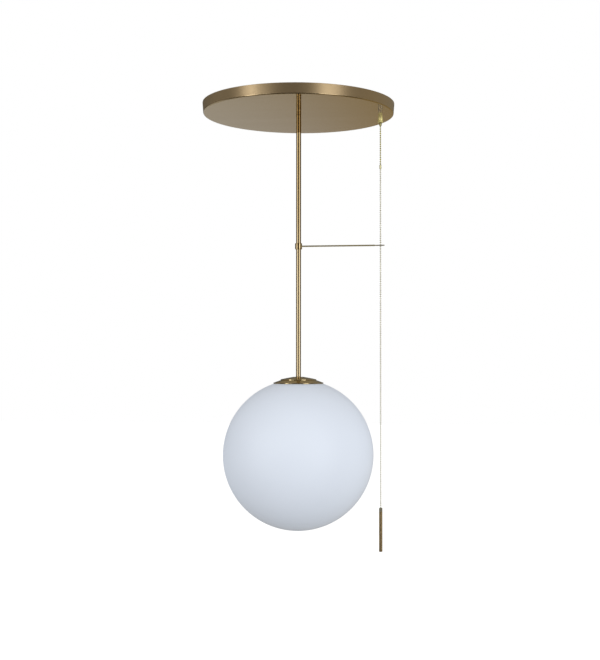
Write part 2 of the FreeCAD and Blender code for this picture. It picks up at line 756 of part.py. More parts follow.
def coupling(radius, top, bottom, edge):
    deep = CHAIN_HOLE_DEPTH
    return turned(
        [
            (0, top - deep),
            (CHAIN_HOLE_R, top - deep),
            (CHAIN_HOLE_R, top),
            (radius, top, edge),
            (radius, bottom, edge),
            (CHAIN_HOLE_R, bottom),
            (CHAIN_HOLE_R, bottom + deep),
            (0, bottom + deep),
        ],
        CHAIN_X,
    )


hold = CHAIN_HOLE_DEPTH - 0.3
save(
    beads(
        CHAIN_X,
        plunger_bottom + hold,
        plunger_bottom - CHAIN_END,
        coupling_1_top + CHAIN_END,
        coupling_1_top - hold,
    ),
    "captive_chain",
)
save(coupling(COUPLING_1_R, coupling_1_top, coupling_1_bottom, 0.9), "chain_coupling_upper")
save(
    beads(
        CHAIN_X,
        coupling_1_bottom + hold,
        coupling_1_bottom - CHAIN_END,
        coupling_2_top + CHAIN_END,
        coupling_2_top - hold,
    ),
    "chain_upper",
)
save(coupling(COUPLING_2_R, coupling_2_top, coupling_2_bottom, 0.7), "chain_coupling_lower")
save(
    beads(
        CHAIN_X,
        coupling_2_bottom + hold,
        coupling_2_bottom - CHAIN_END,
        swivel_z + BEAD_PITCH,
        swivel_z + swivel_link,
    ),
    "chain_middle",
)
save(Part.makeSphere(BEAD_R, V(CHAIN_X, 0, swivel_z)), "swivel_bead")
save(beads(CHAIN_X, swivel_z - swivel_link, swivel_z - BEAD_PITCH, anchor_z, anchor_z), "chain_lower")

ferrule_bottom = handle_top - FERRULE_H
ferrule = turned(
    [
        (CHAIN_HOLE_R, handle_top),
        (HANDLE_R, handle_top, 0.4),
        (HANDLE_R, ferrule_bottom, 0.2),
        (FERRULE_SPIGOT_R, ferrule_bottom),
        (FERRULE_SPIGOT_R, ferrule_bottom - FERRULE_SPIGOT_L),
        (FERRULE_BORE_R, ferrule_bottom - FERRULE_SPIGOT_L),
        (FERRULE_BORE_R, handle_top - FERRULE_TOP_WALL),
        (CHAIN_HOLE_R, handle_top - FERRULE_TOP_WALL),
    ],
    CHAIN_X,
)
save(ferrule, "handle_ferrule")
handle_bottom = handle_top - HANDLE_L
handle_bore = FERRULE_SPIGOT_R + THREAD_GAP
handle = turned(
    [
        (handle_bore, ferrule_bottom),
        (HANDLE_R, ferrule_bottom, 0.2),
        (HANDLE_R, handle_bottom, 0.4),
        (0, handle_bottom),
        (0, ferrule_bottom - HANDLE_BORE_DEPTH),
        (handle_bore, ferrule_bottom - HANDLE_BORE_DEPTH),
    ],
    CHAIN_X,
)
save(handle, "pull_handle")

# Guide arm on the rod, with the eye that the chain hangs through.
collar = tube(
    COLLAR_D / 2,
    ROD_D / 2 + COLLAR_FIT,
    ARM_Z + COLLAR_H / 2,
    ARM_Z - COLLAR_H / 2,
    edge=COLLAR_EDGE_R,
)
collar = collar.cut(bar((0, 0, ARM_Z), (1, 0, 0), ARM_R + ARM_SOCKET_GAP, COLLAR_D))
collar = collar.cut(bar((0, 0, ARM_Z), (0, 1, 0), COLLAR_SCREW_R + THREAD_GAP, COLLAR_D))
save(collar, "arm_collar")
screw_in = ROD_D / 2 + COLLAR_FIT
screw_out = COLLAR_D / 2 - 0.25
collar_screw = bar((0, screw_in, ARM_Z), (0, 1, 0), COLLAR_SCREW_R, screw_out - screw_in)
collar_screw = collar_screw.cut(hexagon(COLLAR_SCREW_SOCKET, (0, screw_out, ARM_Z), (0, -1, 0), 1.0))
save(collar_screw, "collar_grub_screw")

arm_root = ROD_D / 2 + COLLAR_FIT + 0.05
arm_end = PADDLE_FROM + ARM_INTO_PADDLE
arm = bar((arm_root, 0, ARM_Z), (1, 0, 0), ARM_R, arm_end - arm_root)
arm = arm.fuse(Part.makeSphere(ARM_R, V(arm_end, 0, ARM_Z)))
tip_x = PADDLE_TIP - PADDLE_W / 2
half_w = PADDLE_W / 2
low = ARM_Z - PADDLE_T / 2
outline = [
    Part.makeLine(V(PADDLE_FROM, ARM_R, low), V(PADDLE_FULL, half_w, low)),
    Part.makeLine(V(PADDLE_FULL, half_w, low), V(tip_x, half_w, low)),
    Part.Arc(V(tip_x, half_w, low), V(PADDLE_TIP, 0, low), V(tip_x, -half_w, low)).toShape(),
    Part.makeLine(V(tip_x, -half_w, low), V(PADDLE_FULL, -half_w, low)),
    Part.makeLine(V(PADDLE_FULL, -half_w, low), V(PADDLE_FROM, -ARM_R, low)),
    Part.makeLine(V(PADDLE_FROM, -ARM_R, low), V(PADDLE_FROM, ARM_R, low)),
]
paddle = positive(Part.Face(Part.Wire(outline)).extrude(V(0, 0, PADDLE_T)))
arm = arm.fuse(paddle).removeSplitter()
arm = arm.cut(disc(EYE_R, ARM_Z + 5, ARM_Z - 5, CHAIN_X))
save(arm, "guide_arm")

# Globe cap: a low dome on a sloping brim with a short lip, clamped under the rod.
cap_rim_z = ROD_BOTTOM_Z - CAP_H
cap_outer = [
    (0.0, ROD_BOTTOM_Z, 0),
    (CAP_FLAT_R, ROD_BOTTOM_Z - CAP_FLAT_DROP, CAP_DOME_ROUND),
    (CAP_MID_R, ROD_BOTTOM_Z - CAP_MID_DROP, CAP_DOME_ROUND),
    (CAP_SHOULDER_R, ROD_BOTTOM_Z - CAP_SHOULDER_DROP, CAP_DOME_ROUND),
    (CAP_STEP_TOP_R, cap_rim_z + CAP_STEP_TOP_H, 2.0),
    (CAP_STEP_FOOT_R, cap_rim_z + CAP_STEP_FOOT_H, 1.5),
    (CAP_R, cap_rim_z + CAP_LIP, 1.0),
    (CAP_R, cap_rim_z, 0),
]
cap = turned(sheet(cap_outer, CAP_SHEET, -1))
cap = cap.cut(disc(NIPPLE_HOLE_R, ROD_BOTTOM_Z + 1, cap_rim_z))
cap = cap.cut(disc(ROD_D / 2 + 0.5, ROD_BOTTOM_Z + 1, ROD_BOTTOM_Z - 0.15))
cap_under = ROD_BOTTOM_Z - CAP_SHEET - 0.15
cap = cap.cut(disc(FITTER_HUB_R + 0.3, cap_under, cap_rim_z))
save(cap, "globe_cap")

# Globe, a blown sphere with a ground hole.
globe_r = GLOBE_D / 2
globe_z = cap_rim_z - GLOBE_GAP - math.sqrt(globe_r ** 2 - (CAP_R - CAP_SHEET) ** 2)


def glass_z(r):
    """Height of the globe's outer surface at radius r, on its upper half."""
    return globe_z + math.sqrt(globe_r ** 2 - r ** 2)


globe = Part.makeSphere(globe_r, V(0, 0, globe_z))
globe = globe.cut(Part.makeSphere(globe_r - GLOBE_WALL, V(0, 0, globe_z)))
globe = globe.cut(disc(GLOBE_HOLE_R, globe_z + globe_r + 1, globe_z))
whole = [e for e in globe.Edges if not e.Degenerated and isinstance(e.Curve, Part.Circle)]
rims = [e for e in whole if abs(e.Curve.Radius - GLOBE_HOLE_R) < 0.01]
globe = globe.makeFillet(GLOBE_RIM_R, rims)
save(globe, "globe")

# Fitter on the nipple, and the threaded ring bonded in the globe's hole.
hub_top = cap_under
hub_bottom = hub_top - FITTER_HUB_H
plate_bottom = hub_bottom - FITTER_T
fitter = turned(
    [
        (ROD_THREAD_D / 2, hub_top),
        (FITTER_HUB_R, hub_top),
        (FITTER_HUB_R, hub_bottom, 1.0),
        (FITTER_R, hub_bottom, 1.0),
        (FITTER_R, plate_bottom - FITTER_SKIRT_H),
        (FITTER_R - FITTER_T, plate_bottom - FITTER_SKIRT_H),
        (FITTER_R - FITTER_T, plate_bottom, 1.0),
        (ROD_THREAD_D / 2, plate_bottom),
    ]
)
save(fitter, "globe_fitter")
cap_nut_bottom = plate_bottom - NUT_H
save(nut(NUT_AF, ROD_THREAD_D / 2, plate_bottom, cap_nut_bottom), "cap_nut")

flange_z = glass_z(GLOBE_HOLE_R) + RING_LIFT
ring_in = FITTER_R + RING_RUN_GAP
ring = turned(
    [
        (ring_in, flange_z + RING_FLANGE_T),
        (RING_FLANGE_R, flange_z + RING_FLANGE_T, 0.2),
        (RING_FLANGE_R, flange_z),
        (GLOBE_HOLE_R - 0.3, flange_z),
        (GLOBE_HOLE_R - 0.3, flange_z + RING_FLANGE_T - RING_H),
        (ring_in, flange_z + RING_FLANGE_T - RING_H),
    ]
)
save(ring, "globe_ring")
gasket = turned(
    [
        (GASKET_IN_R, glass_z(GASKET_IN_R) + GASKET_LIFT),
        (GASKET_OUT_R, glass_z(GASKET_OUT_R) + GASKET_LIFT),
        (GASKET_OUT_R, glass_z(GASKET_OUT_R) + GASKET_LIFT + GASKET_T),
        (GASKET_IN_R, glass_z(GASKET_IN_R) + GASKET_LIFT + GASKET_T),
    ]
)
save(gasket, "globe_gasket")

# Lampholder under the fitter.
holder_top = cap_nut_bottom
thread_bottom = holder_top - HOLDER_THREAD
low_nipple_bottom = thread_bottom - NIPPLE_SHOW
low_nipple_top = ROD_BOTTOM_Z + ROD_THREAD_DEPTH - 0.2
save(tube(NIPPLE_R, NIPPLE_BORE / 2, low_nipple_top, low_nipple_bottom, edge=0.4), "rod_bottom_nipple")
cap_foot = holder_top - HOLDER_CAP_H
holder_in = HOLDER_R - HOLDER_WALL
holder_cap = turned(
    [
        (ROD_THREAD_D / 2, holder_top),
        (HOLDER_BOSS_R, holder_top, 0.5),
        (HOLDER_BOSS_R, holder_top - 4.0, 1.0),
        (HOLDER_R, holder_top - 11.0, 3.0),
        (HOLDER_R, cap_foot),
        (holder_in, cap_foot),
        (holder_in, holder_top - 12.5, 2.0),
        (HOLDER_BOSS_R, thread_bottom, 0.5),
        (ROD_THREAD_D / 2, thread_bottom),
    ]
)
save(holder_cap, "lampholder_cap")
insert_top = cap_foot + INSERT_INTO_CAP
insert_bottom = insert_top - INSERT_H
insert = disc(INSERT_R, insert_top, insert_bottom, edge=0.6)
for side in (-1, 1):
    insert = insert.cut(disc(WIRE_R + WIRE_ENTRY_GAP, insert_top + 1, insert_top - 5.0, side * TERMINAL_X))
save(insert, "lampholder_insert")
skirt_bottom = cap_foot - SKIRT_H
skirt = turned(
    [
        (INSERT_R + 0.4, cap_foot),
        (SKIRT_R, cap_foot, 0.5),
        (SKIRT_R, skirt_bottom, 0.8),
        (INSERT_R + 0.4, skirt_bottom, 0.4),
    ]
)
save(skirt, "lampholder_skirt")
save(tube(SHELL_R, SHELL_R - SHELL_T, insert_bottom, insert_bottom - SHELL_H), "screw_shell")
foot = block(-CONTACT_L / 2, 0, -CONTACT_W / 2, CONTACT_W / 2, insert_bottom - CONTACT_T, insert_bottom)
leaf_wire = Part.makePolygon(
    [
        V(-1.0, -CONTACT_W / 2, insert_bottom),
        V(CONTACT_L / 2, -CONTACT_W / 2, insert_bottom - CONTACT_RISE + CONTACT_T),
        V(CONTACT_L / 2, -CONTACT_W / 2, insert_bottom - CONTACT_RISE),
        V(-1.0, -CONTACT_W / 2, insert_bottom - CONTACT_T),
        V(-1.0, -CONTACT_W / 2, insert_bottom),
    ]
)
leaf = positive(Part.Face(leaf_wire).extrude(V(0, CONTACT_W, 0)))
save(foot.fuse(leaf).removeSplitter(), "centre_contact")

# Lamp, a frosted round bulb on a screw base.
base_top = insert_bottom - CONTACT_RISE - BASE_GAP
base_bottom = base_top - BASE_L
ribs = [(0, base_top), (4.6, base_top, 0.8), (5.6, base_top - 1.2), (9.0, base_top - 2.6, 1.0)]
ribs.append((BASE_R - 0.9, base_top - 5.0, 0.6))
rib_count = 4
rib_step = 3.6
for i in range(rib_count):
    z = base_top - 6.0 - rib_step * i
    ribs.append((BASE_R, z - rib_step * 0.25, 1.0))
    ribs.append((BASE_R - 0.9, z - rib_step * 0.75, 1.0))
ribs.append((BASE_R - 0.5, base_bottom, 0))
ribs.append((BASE_R - 1.6, base_bottom, 0))
ribs.append((BASE_R - 1.6, base_top - 6.0, 0))
ribs.append((0, base_top - 6.0, 0))
save(turned(ribs), "bulb_base")
ball_z = base_top - LAMP_BALL_DROP
neck_top = base_bottom + 2.0
tangent = 0.62
join_r = LAMP_R * math.cos(tangent)
join_z = ball_z + LAMP_R * math.sin(tangent)
neck = turned(
    [
        (0, neck_top - 2.2),
        (LAMP_NECK_R, neck_top - 2.2, 0.5),
        (LAMP_NECK_R, neck_top - 11.0, 18.0),
        (join_r, join_z, 0),
        (0, ball_z, 0),
    ]
)
outer = neck.fuse(Part.makeSphere(LAMP_R, V(0, 0, ball_z)))
hollow = turned(
    [
        (0, neck_top),
        (LAMP_NECK_R - LAMP_WALL - 1.0, neck_top),
        (LAMP_NECK_R - LAMP_WALL - 1.0, neck_top - 11.4, 18.0),
        (join_r - LAMP_WALL - 0.6, join_z - LAMP_WALL, 0),
        (0, ball_z, 0),
    ]
)
hollow = hollow.fuse(Part.makeSphere(LAMP_R - LAMP_WALL, V(0, 0, ball_z)))
save(outer.cut(hollow).removeSplitter(), "bulb_envelope")

# Wiring inside the canopy and down the rod.
floor_wire = CANOPY_FLOOR_Z + WIRE_R + FLOOR_LIFT
block_out = BLOCK_X + TERMINAL_SCREW_X - 1.5
over_nut = nipple_top + WIRE_BEND
case_wire = (case_x0 - 4.0, case_x0 + CASE_WALL + 3.0)
washer_r = LOAD_WASHER_D / 2
live = [
    (block_out, POLE_PITCH, pole_z),
    (BLOCK_X + WIRE_LEAVE, POLE_PITCH, pole_z),
    (BLOCK_X + WIRE_LAND, POLE_PITCH + LIVE_SPREAD, floor_wire),
    (0.0, washer_r + LIVE_ROUND_WASHER, floor_wire, LIVE_SWEEP),
    (case_x0 - LIVE_TURN_BACK, LIVE_TURN_Y, floor_wire, LIVE_SWEEP),
    (case_x0 - CASE_APPROACH, WIRE_ENTRY_Y, floor_wire),
    (case_wire[0], WIRE_ENTRY_Y, wire_entry_z, CASE_ENTRY_BEND),
    (case_wire[1], WIRE_ENTRY_Y, wire_entry_z),
]
save(pipe(live, WIRE_BEND, WIRE_R), "live_wire")
drop_bottom = low_nipple_bottom - 1.0
step_z = insert_top + 3.6


def down_the_rod(side):
    x = side * WIRE_PAIR_X
    return [
        (x, 0, over_nut, WIRE_BEND),
        (x, 0, drop_bottom, WIRE_TERMINAL_BEND),
        (side * TERMINAL_X, 0, step_z, WIRE_TERMINAL_BEND),
        (side * TERMINAL_X, 0, insert_top - 4.0),
    ]


washer_wire = washer_top + WIRE_R + 0.3
switched = [
    (case_wire[1], -WIRE_ENTRY_Y, wire_entry_z),
    (case_wire[0], -WIRE_ENTRY_Y, wire_entry_z, CASE_ENTRY_BEND),
    (case_x0 - CASE_APPROACH, -WIRE_ENTRY_Y, floor_wire),
    (washer_r + SWITCHED_FAR[0], -SWITCHED_FAR[1], floor_wire, LIVE_SWEEP),
    (washer_r + SWITCHED_NEAR[0], -SWITCHED_NEAR[1], floor_wire),
    (washer_r - WASHER_LIFT_IN, -SWITCHED_LIFT_Y, washer_wire + WASHER_LIFT),
    (NUT_OVER, 0.0, over_nut),
] + down_the_rod(1)
save(pipe(switched, WIRE_BEND, WIRE_R), "switched_wire")
neutral = [
    (block_out, 0.0, pole_z),
    (BLOCK_X + NEUTRAL_LEAVE, 0.0, pole_z),
    (BLOCK_X + WIRE_LAND, -NEUTRAL_SPREAD, floor_wire),
    (-washer_r - NEUTRAL_NEAR[0], -NEUTRAL_NEAR[1], floor_wire),
    (WASHER_LIFT_IN - washer_r, -NEUTRAL_LIFT_Y, washer_wire + WASHER_LIFT),
    (-NUT_OVER, 0.0, over_nut),
] + down_the_rod(-1)
save(pipe(neutral, WIRE_BEND, WIRE_R), "neutral_wire")
earth = [
    (block_out, -POLE_PITCH, pole_z),
    (BLOCK_X + WIRE_LEAVE, -POLE_PITCH, pole_z),
    (BLOCK_X + WIRE_LAND, -POLE_PITCH - EARTH_SPREAD, floor_wire),
    (-EARTH_SIDE, -washer_r - EARTH_OUT, floor_wire, EARTH_SWEEP),
    (0.0, -washer_r - EARTH_IN, floor_wire, EARTH_BEND),
    (0.0, -washer_r + WASHER_LIFT_IN, barrel_z, EARTH_BEND),
    (0.0, -EARTH_BARREL_FROM - 2.0, barrel_z),
]
save(pipe(earth, WIRE_BEND, WIRE_R), "earth_wire")
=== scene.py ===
import math

import bmesh
import bpy
from mathutils import Matrix, Vector


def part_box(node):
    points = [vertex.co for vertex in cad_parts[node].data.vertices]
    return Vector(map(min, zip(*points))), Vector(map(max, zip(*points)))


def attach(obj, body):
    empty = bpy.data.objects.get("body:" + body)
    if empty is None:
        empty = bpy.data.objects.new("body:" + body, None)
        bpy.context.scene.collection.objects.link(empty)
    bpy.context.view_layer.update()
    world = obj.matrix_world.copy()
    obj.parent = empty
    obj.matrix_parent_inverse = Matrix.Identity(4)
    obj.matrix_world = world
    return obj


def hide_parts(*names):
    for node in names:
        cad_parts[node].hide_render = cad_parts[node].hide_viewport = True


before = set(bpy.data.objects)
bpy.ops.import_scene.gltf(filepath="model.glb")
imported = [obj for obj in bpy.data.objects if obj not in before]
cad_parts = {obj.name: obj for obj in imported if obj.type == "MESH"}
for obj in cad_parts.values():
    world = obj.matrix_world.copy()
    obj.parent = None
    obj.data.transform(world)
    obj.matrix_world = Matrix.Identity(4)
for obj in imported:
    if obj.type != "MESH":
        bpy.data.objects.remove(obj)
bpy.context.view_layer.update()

FULL_TURN = 2 * math.pi
BLACK = (0.0, 0.0, 0.0)
WHITE = (1.0, 1.0, 1.0)

# Sizes and places in metres, as in the part's source.
CEILING_Z = 0.0
CANOPY_FACE_Z = -0.021
CANOPY_TOP_R = 0.1920
CANOPY_FACE_R = 0.1905
CANOPY_SHEET = 0.0012
NIPPLE_HOLE_R = 0.0043
BUSH_HOLE_R = 0.0028
RIM_SCREW_Z = -0.008
RIM_SCREW_R = 0.0022
RIM_INSIDE_X = 0.185
RIM_OUTSIDE_X = 0.195

ROD_R = 0.0050
ROD_BORE_R = 0.0041
ROD_BOTTOM_Z = -0.546

ARM_Z = -0.285
ARM_SOCKET_R = 0.00155
COLLAR_R = 0.0070
COLLAR_BORE_R = 0.00503
COLLAR_HALF = 0.00625
COLLAR_ROUND = 0.0010
COLLAR_SCREW_R = 0.0015
COLLAR_INSIDE = 0.003
COLLAR_OUTSIDE = 0.009

CAP_RIM_Z = -0.5595
GLOBE_R = 0.150
GLOBE_INNER_R = 0.1465
GLOBE_HOLE_R = 0.0415
GLOBE_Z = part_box("globe")[0].z + GLOBE_R

CHAIN_X = 0.1648
BELL_BOTTOM_Z = -0.0408
BELL_BORE_R = 0.00265
COUPLING_UPPER = (-0.0412, -0.0467)
COUPLING_LOWER = (-0.125, -0.133)
BEAD_R = 0.0016
BEAD_PITCH = 0.0043
FIRST_BEAD = 0.0022
LINK_R = 0.00026
CHAIN_BORE_R = 0.0006
SWIVEL_Z = -0.288
SWIVEL_GAP = 0.0001
SWIVEL_TOP_Z = SWIVEL_Z + BEAD_R + SWIVEL_GAP
SWIVEL_LOW_Z = SWIVEL_Z - BEAD_R - SWIVEL_GAP
ANCHOR_Z = -0.8079

HANDLE_R = 0.0034
HANDLE_TOP_Z = -0.8049
FERRULE_BOTTOM_Z = -0.8119
HANDLE_BOTTOM_Z = -0.8906
PIN_R = 0.0025
PIN_LENGTH = 0.004
PIN_HOLE_R = 0.00255
PIN_HOLE_DEPTH = 0.009


# Shader nodes

def add_node(tree, kind, **settings):
    node = tree.nodes.new(kind)
    for key, value in settings.items():
        setattr(node, key, value)
    return node


def feed(tree, socket, value):
    """Gives an input socket a number, a colour or another node's output."""
    if isinstance(value, (int, float)):
        socket.default_value = value
    elif isinstance(value, tuple):
        socket.default_value = (*value, 1.0)
    else:
        tree.links.new(value, socket)


def math_node(tree, operation, *values):
    node = add_node(tree, "ShaderNodeMath", operation=operation)
    for socket, value in zip(node.inputs, values):
        feed(tree, socket, value)
    return node.outputs[0]


def split(tree, vector):
    """The x, y and z outputs of a vector."""
    parts = add_node(tree, "ShaderNodeSeparateXYZ")
    feed(tree, parts.inputs[0], vector)
    return parts.outputs


def ramp(tree, value, start, end, kind="SMOOTHSTEP"):
    """0 up to start, 1 from end on."""
    node = add_node(tree, "ShaderNodeMapRange", interpolation_type=kind)
    feed(tree, node.inputs["From Min"], start)
    feed(tree, node.inputs["From Max"], end)
    feed(tree, node.inputs["Value"], value)
    return node.outputs[0]


def noise(tree, dimensions="3D", **values):
    node = add_node(tree, "ShaderNodeTexNoise", noise_dimensions=dimensions)
    for label, value in values.items():
        feed(tree, node.inputs[label], value)
    return node.outputs[0]


def mix_colour(tree, share, first, second, blend="MIX"):
    node = add_node(tree, "ShaderNodeMix", data_type="RGBA", blend_type=blend)
    feed(tree, node.inputs[0], share)
    feed(tree, node.inputs[6], first)
    feed(tree, node.inputs[7], second)
    return node.outputs[2]


# Shader node groups

def new_group(name, inputs, outputs):
    """An empty shader group with (name, type, default) inputs and number outputs."""
    group = bpy.data.node_groups.new(name, "ShaderNodeTree")
    for label, kind, value in inputs:
        socket = group.interface.new_socket(label, in_out="INPUT", socket_type="NodeSocket" + kind)
        if value is not None:
            socket.default_value = value
    for label in outputs:
        group.interface.new_socket(label, in_out="OUTPUT", socket_type="NodeSocketFloat")
    return group, group.nodes.new("NodeGroupInput").outputs, group.nodes.new("NodeGroupOutput").inputs


BROAD_SCALE = 0.09


def make_brush_lines():
    """Fine lines left by a brush or a lathe: separate densities out from the axis, around it and along it."""
    group, given, result = new_group(
        "brush_lines",
        [
            ("Vector", "Vector", None),
            ("Across", "Float", 3000.0),
            ("Around", "Float", 4.0),
            ("Along", "Float", 3000.0),
        ],
        ["Lines", "Broad"],
    )
    x, y, z = split(group, given["Vector"])
    square = math_node(group, "ADD", math_node(group, "MULTIPLY", x, x), math_node(group, "MULTIPLY", y, y))
    radius = math_node(group, "MAXIMUM", math_node(group, "SQRT", square), 1e-5)
    place = add_node(group, "ShaderNodeCombineXYZ")
    feed(group, place.inputs[0], math_node(group, "MULTIPLY", radius, given["Across"]))
    for socket, side in zip(place.inputs[1:], (x, y)):
        turn_share = math_node(group, "DIVIDE", side, radius)
        feed(group, socket, math_node(group, "MULTIPLY", turn_share, given["Around"]))
    place = place.outputs[0]
    height = math_node(group, "MULTIPLY", z, given["Along"])
    fine = noise(group, "4D", Vector=place, W=height, Scale=1.0, Detail=3.0, Roughness=0.65)
    slow_height = math_node(group, "MULTIPLY", height, BROAD_SCALE)
    broad = noise(group, "4D", Vector=place, W=slow_height, Scale=BROAD_SCALE, Detail=2.0)
    feed(group, result["Lines"], fine)
    feed(group, result["Broad"], broad)
    return group


FLECKS_TO_SMUDGE = 22.0


def make_handling():
    """Soft smudges and small darker flecks, as on metal that has been touched and has aged a little."""
    group, given, result = new_group(
        "handling", [("Vector", "Vector", None), ("Scale", "Float", 25.0)], ["Smudge", "Flecks"]
    )
    vector, scale = given["Vector"], given["Scale"]
    smudge = noise(group, Vector=vector, Scale=scale, Detail=4.0, Distortion=0.6)
    fleck_scale = math_node(group, "MULTIPLY", scale, FLECKS_TO_SMUDGE)
    flecks = noise(group, Vector=vector, Scale=fleck_scale, Detail=2.0)
    feed(group, result["Smudge"], ramp(group, smudge, 0.35, 0.7))
    feed(group, result["Flecks"], ramp(group, flecks, 0.66, 0.76))
    return group


PATCHES_TO_GRAIN = 0.02


def make_grain():
    """An even fine grain with slow patches: moulded plastic, ceramic, rubber, plating and opal glass."""
    group, given, result = new_group(
        "grain", [("Vector", "Vector", None), ("Scale", "Float", 900.0)], ["Grain", "Patches"]
    )
    vector, scale = given["Vector"], given["Scale"]
    slow_scale = math_node(group, "MULTIPLY", scale, PATCHES_TO_GRAIN)
    feed(group, result["Grain"], noise(group, Vector=vector, Scale=scale, Detail=3.0))
    feed(group, result["Patches"], noise(group, Vector=vector, Scale=slow_scale, Detail=3.0))
    return group


BRUSH_LINES = make_brush_lines()
HANDLING = make_handling()
GRAIN = make_grain()


# Finishes

def new_finish(name):
    finish = bpy.data.materials.new(name)
    finish.use_nodes = True
    tree = finish.node_tree
    shader = next(n for n in tree.nodes if n.type == "BSDF_PRINCIPLED")
    return finish, tree, shader


def place_group(tree, group, vector, **values):
    node = add_node(tree, "ShaderNodeGroup", node_tree=group)
    feed(tree, node.inputs["Vector"], vector)
    for label, value in values.items():
        feed(tree, node.inputs[label], value)
    return node.outputs


def remap(tree, vector, **settings):
    node = add_node(tree, "ShaderNodeMapping")
    for label, value in settings.items():
        node.inputs[label].default_value = value
    feed(tree, node.inputs["Vector"], vector)
    return node.outputs[0]


def centred(tree, x=0.0):
    """Object coordinates with the origin moved to a vertical axis at x."""
    coords = add_node(tree, "ShaderNodeTexCoord").outputs["Object"]
    return remap(tree, coords, Location=(-x, 0.0, 0.0)) if x else coords


def bump_into(tree, shader, height, strength, distance):
    bump = add_node(tree, "ShaderNodeBump")
    feed(tree, bump.inputs["Strength"], strength)
    feed(tree, bump.inputs["Distance"], distance)
    feed(tree, bump.inputs["Height"], height)
    feed(tree, shader.inputs["Normal"], bump.outputs[0])


STRAIGHT_SQUEEZE = (0.004, 1.0, 1.0)
FLECK_SHARE = 0.10
FLECK_TONE = 0.6
LINES_ROUGH = 0.06
LINES_ROUGH_MEAN = 0.04
SMUDGE_ROUGH = 0.03
BROAD_ROUGH = 0.02
BRASS_SHEEN = (0.95, 0.87, 0.72)
RING_TURN = 0.25
LINE_HEIGHT = 0.00004


def brass(
    name, colour, aged, roughness, lines, x=0.0, brushed=0.0, line_tone=0.10, line_depth=0.03,
    smudges=0.14, smudge_scale=25.0, metal=1.0, straight=False, uneven=1.0, painted_reflection=None, painted_shade=None,
):
    """Brass with brush lines.

    lines is (across, around, along) in lines to a metre or a turn; straight lines run along X.
    painted_reflection is a
    painted reflection: the colour that other metal shows of it. painted_shade is a painted shade, as (axis,
    start, end, second colour): the colour turns to the second one along that axis.
    """
    finish, tree, shader = new_finish(name)
    vector = centred(tree, x)
    if straight:
        vector = remap(tree, vector, Scale=STRAIGHT_SQUEEZE)
    across, around, along = lines
    brush = place_group(tree, BRUSH_LINES, vector, Across=across, Around=around, Along=along)
    touched = place_group(tree, HANDLING, vector, Scale=smudge_scale)
    smudge, flecks = touched["Smudge"], touched["Flecks"]
    # Painted shade: the colour turns to a second colour along one axis.
    if painted_shade:
        axis, start, end, second = painted_shade
        colour = mix_colour(tree, ramp(tree, split(tree, vector)[axis], start, end), colour, second)
    tone = mix_colour(tree, math_node(tree, "MULTIPLY", smudge, smudges), colour, aged)
    tone = mix_colour(tree, math_node(tree, "MULTIPLY", brush["Lines"], line_tone), tone, aged)
    fleck_colour = tuple(c * FLECK_TONE for c in aged)
    tone = mix_colour(tree, math_node(tree, "MULTIPLY", flecks, FLECK_SHARE), tone, fleck_colour)
    # Painted reflection: other metal shows this colour of the piece in place of its own.
    if painted_reflection:
        path = add_node(tree, "ShaderNodeLightPath").outputs
        tone = mix_colour(tree, path["Is Glossy Ray"], tone, painted_reflection)
    feed(tree, shader.inputs["Base Color"], tone)
    rough = roughness - LINES_ROUGH_MEAN * uneven
    rough_parts = ((brush["Lines"], LINES_ROUGH), (smudge, SMUDGE_ROUGH), (brush["Broad"], BROAD_ROUGH))
    for pattern, amount in rough_parts:
        rough = math_node(tree, "MULTIPLY_ADD", pattern, amount * uneven, rough)
    feed(tree, shader.inputs["Roughness"], rough)
    feed(tree, shader.inputs["Metallic"], metal)
    feed(tree, shader.inputs["Specular Tint"], BRASS_SHEEN)
    if brushed:
        feed(tree, shader.inputs["Anisotropic"], brushed)
        feed(tree, shader.inputs["Anisotropic Rotation"], 0.0 if straight else RING_TURN)
        tangent = add_node(tree, "ShaderNodeTangent", direction_type="RADIAL", axis="X" if straight else "Z")
        feed(tree, shader.inputs["Tangent"], tangent.outputs[0])
    bump_into(tree, shader, brush["Lines"], line_depth, LINE_HEIGHT)
    return finish


GRAIN_ROUGH = 0.16
GRAIN_HEIGHT = 0.00008
GRAIN_BUMP = 0.06


def plain(name, colour, roughness, grain=900.0, vary=0.12, metallic=0.0):
    """A moulded, plated or fired surface: slow patches of tone and a fine grain."""
    finish, tree, shader = new_finish(name)
    surface = place_group(tree, GRAIN, centred(tree), Scale=grain)
    deep = tuple(c * (1 - vary) for c in colour)
    feed(tree, shader.inputs["Base Color"], mix_colour(tree, surface["Patches"], deep, colour))
    rough = math_node(tree, "MULTIPLY_ADD", surface["Grain"], GRAIN_ROUGH, roughness - GRAIN_ROUGH / 2)
    feed(tree, shader.inputs["Roughness"], rough)
    feed(tree, shader.inputs["Metallic"], metallic)
    bump_into(tree, shader, surface["Grain"], GRAIN_BUMP, GRAIN_HEIGHT)
    return finish


OPAL_DEEP = (0.735, 0.791, 0.880)
OPAL_PALE = (0.769, 0.825, 0.914)
ETCH_GRAIN = 1400.0
CLOUD_GRAIN = 420.0
ETCH_ROUGH = 0.46
ETCH_ROUGH_VARY = 0.12
ETCH_BUMP = 0.03
ETCH_HEIGHT = 0.00005
OPAL_SHEEN = 0.4


def opal(name):
    """Matt opal glass: cool white, slightly cloudy, with a satin acid-etched surface."""
    finish, tree, shader = new_finish(name)
    vector = centred(tree)
    surface = place_group(tree, GRAIN, vector, Scale=ETCH_GRAIN)
    cloud = place_group(tree, GRAIN, vector, Scale=CLOUD_GRAIN)
    feed(tree, shader.inputs["Base Color"], mix_colour(tree, cloud["Patches"], OPAL_DEEP, OPAL_PALE))
    rough = math_node(tree, "MULTIPLY_ADD", surface["Grain"], ETCH_ROUGH_VARY, ETCH_ROUGH)
    feed(tree, shader.inputs["Roughness"], rough)
    feed(tree, shader.inputs["Specular IOR Level"], OPAL_SHEEN)
    bump_into(tree, shader, surface["Grain"], ETCH_BUMP, ETCH_HEIGHT)
    return finish


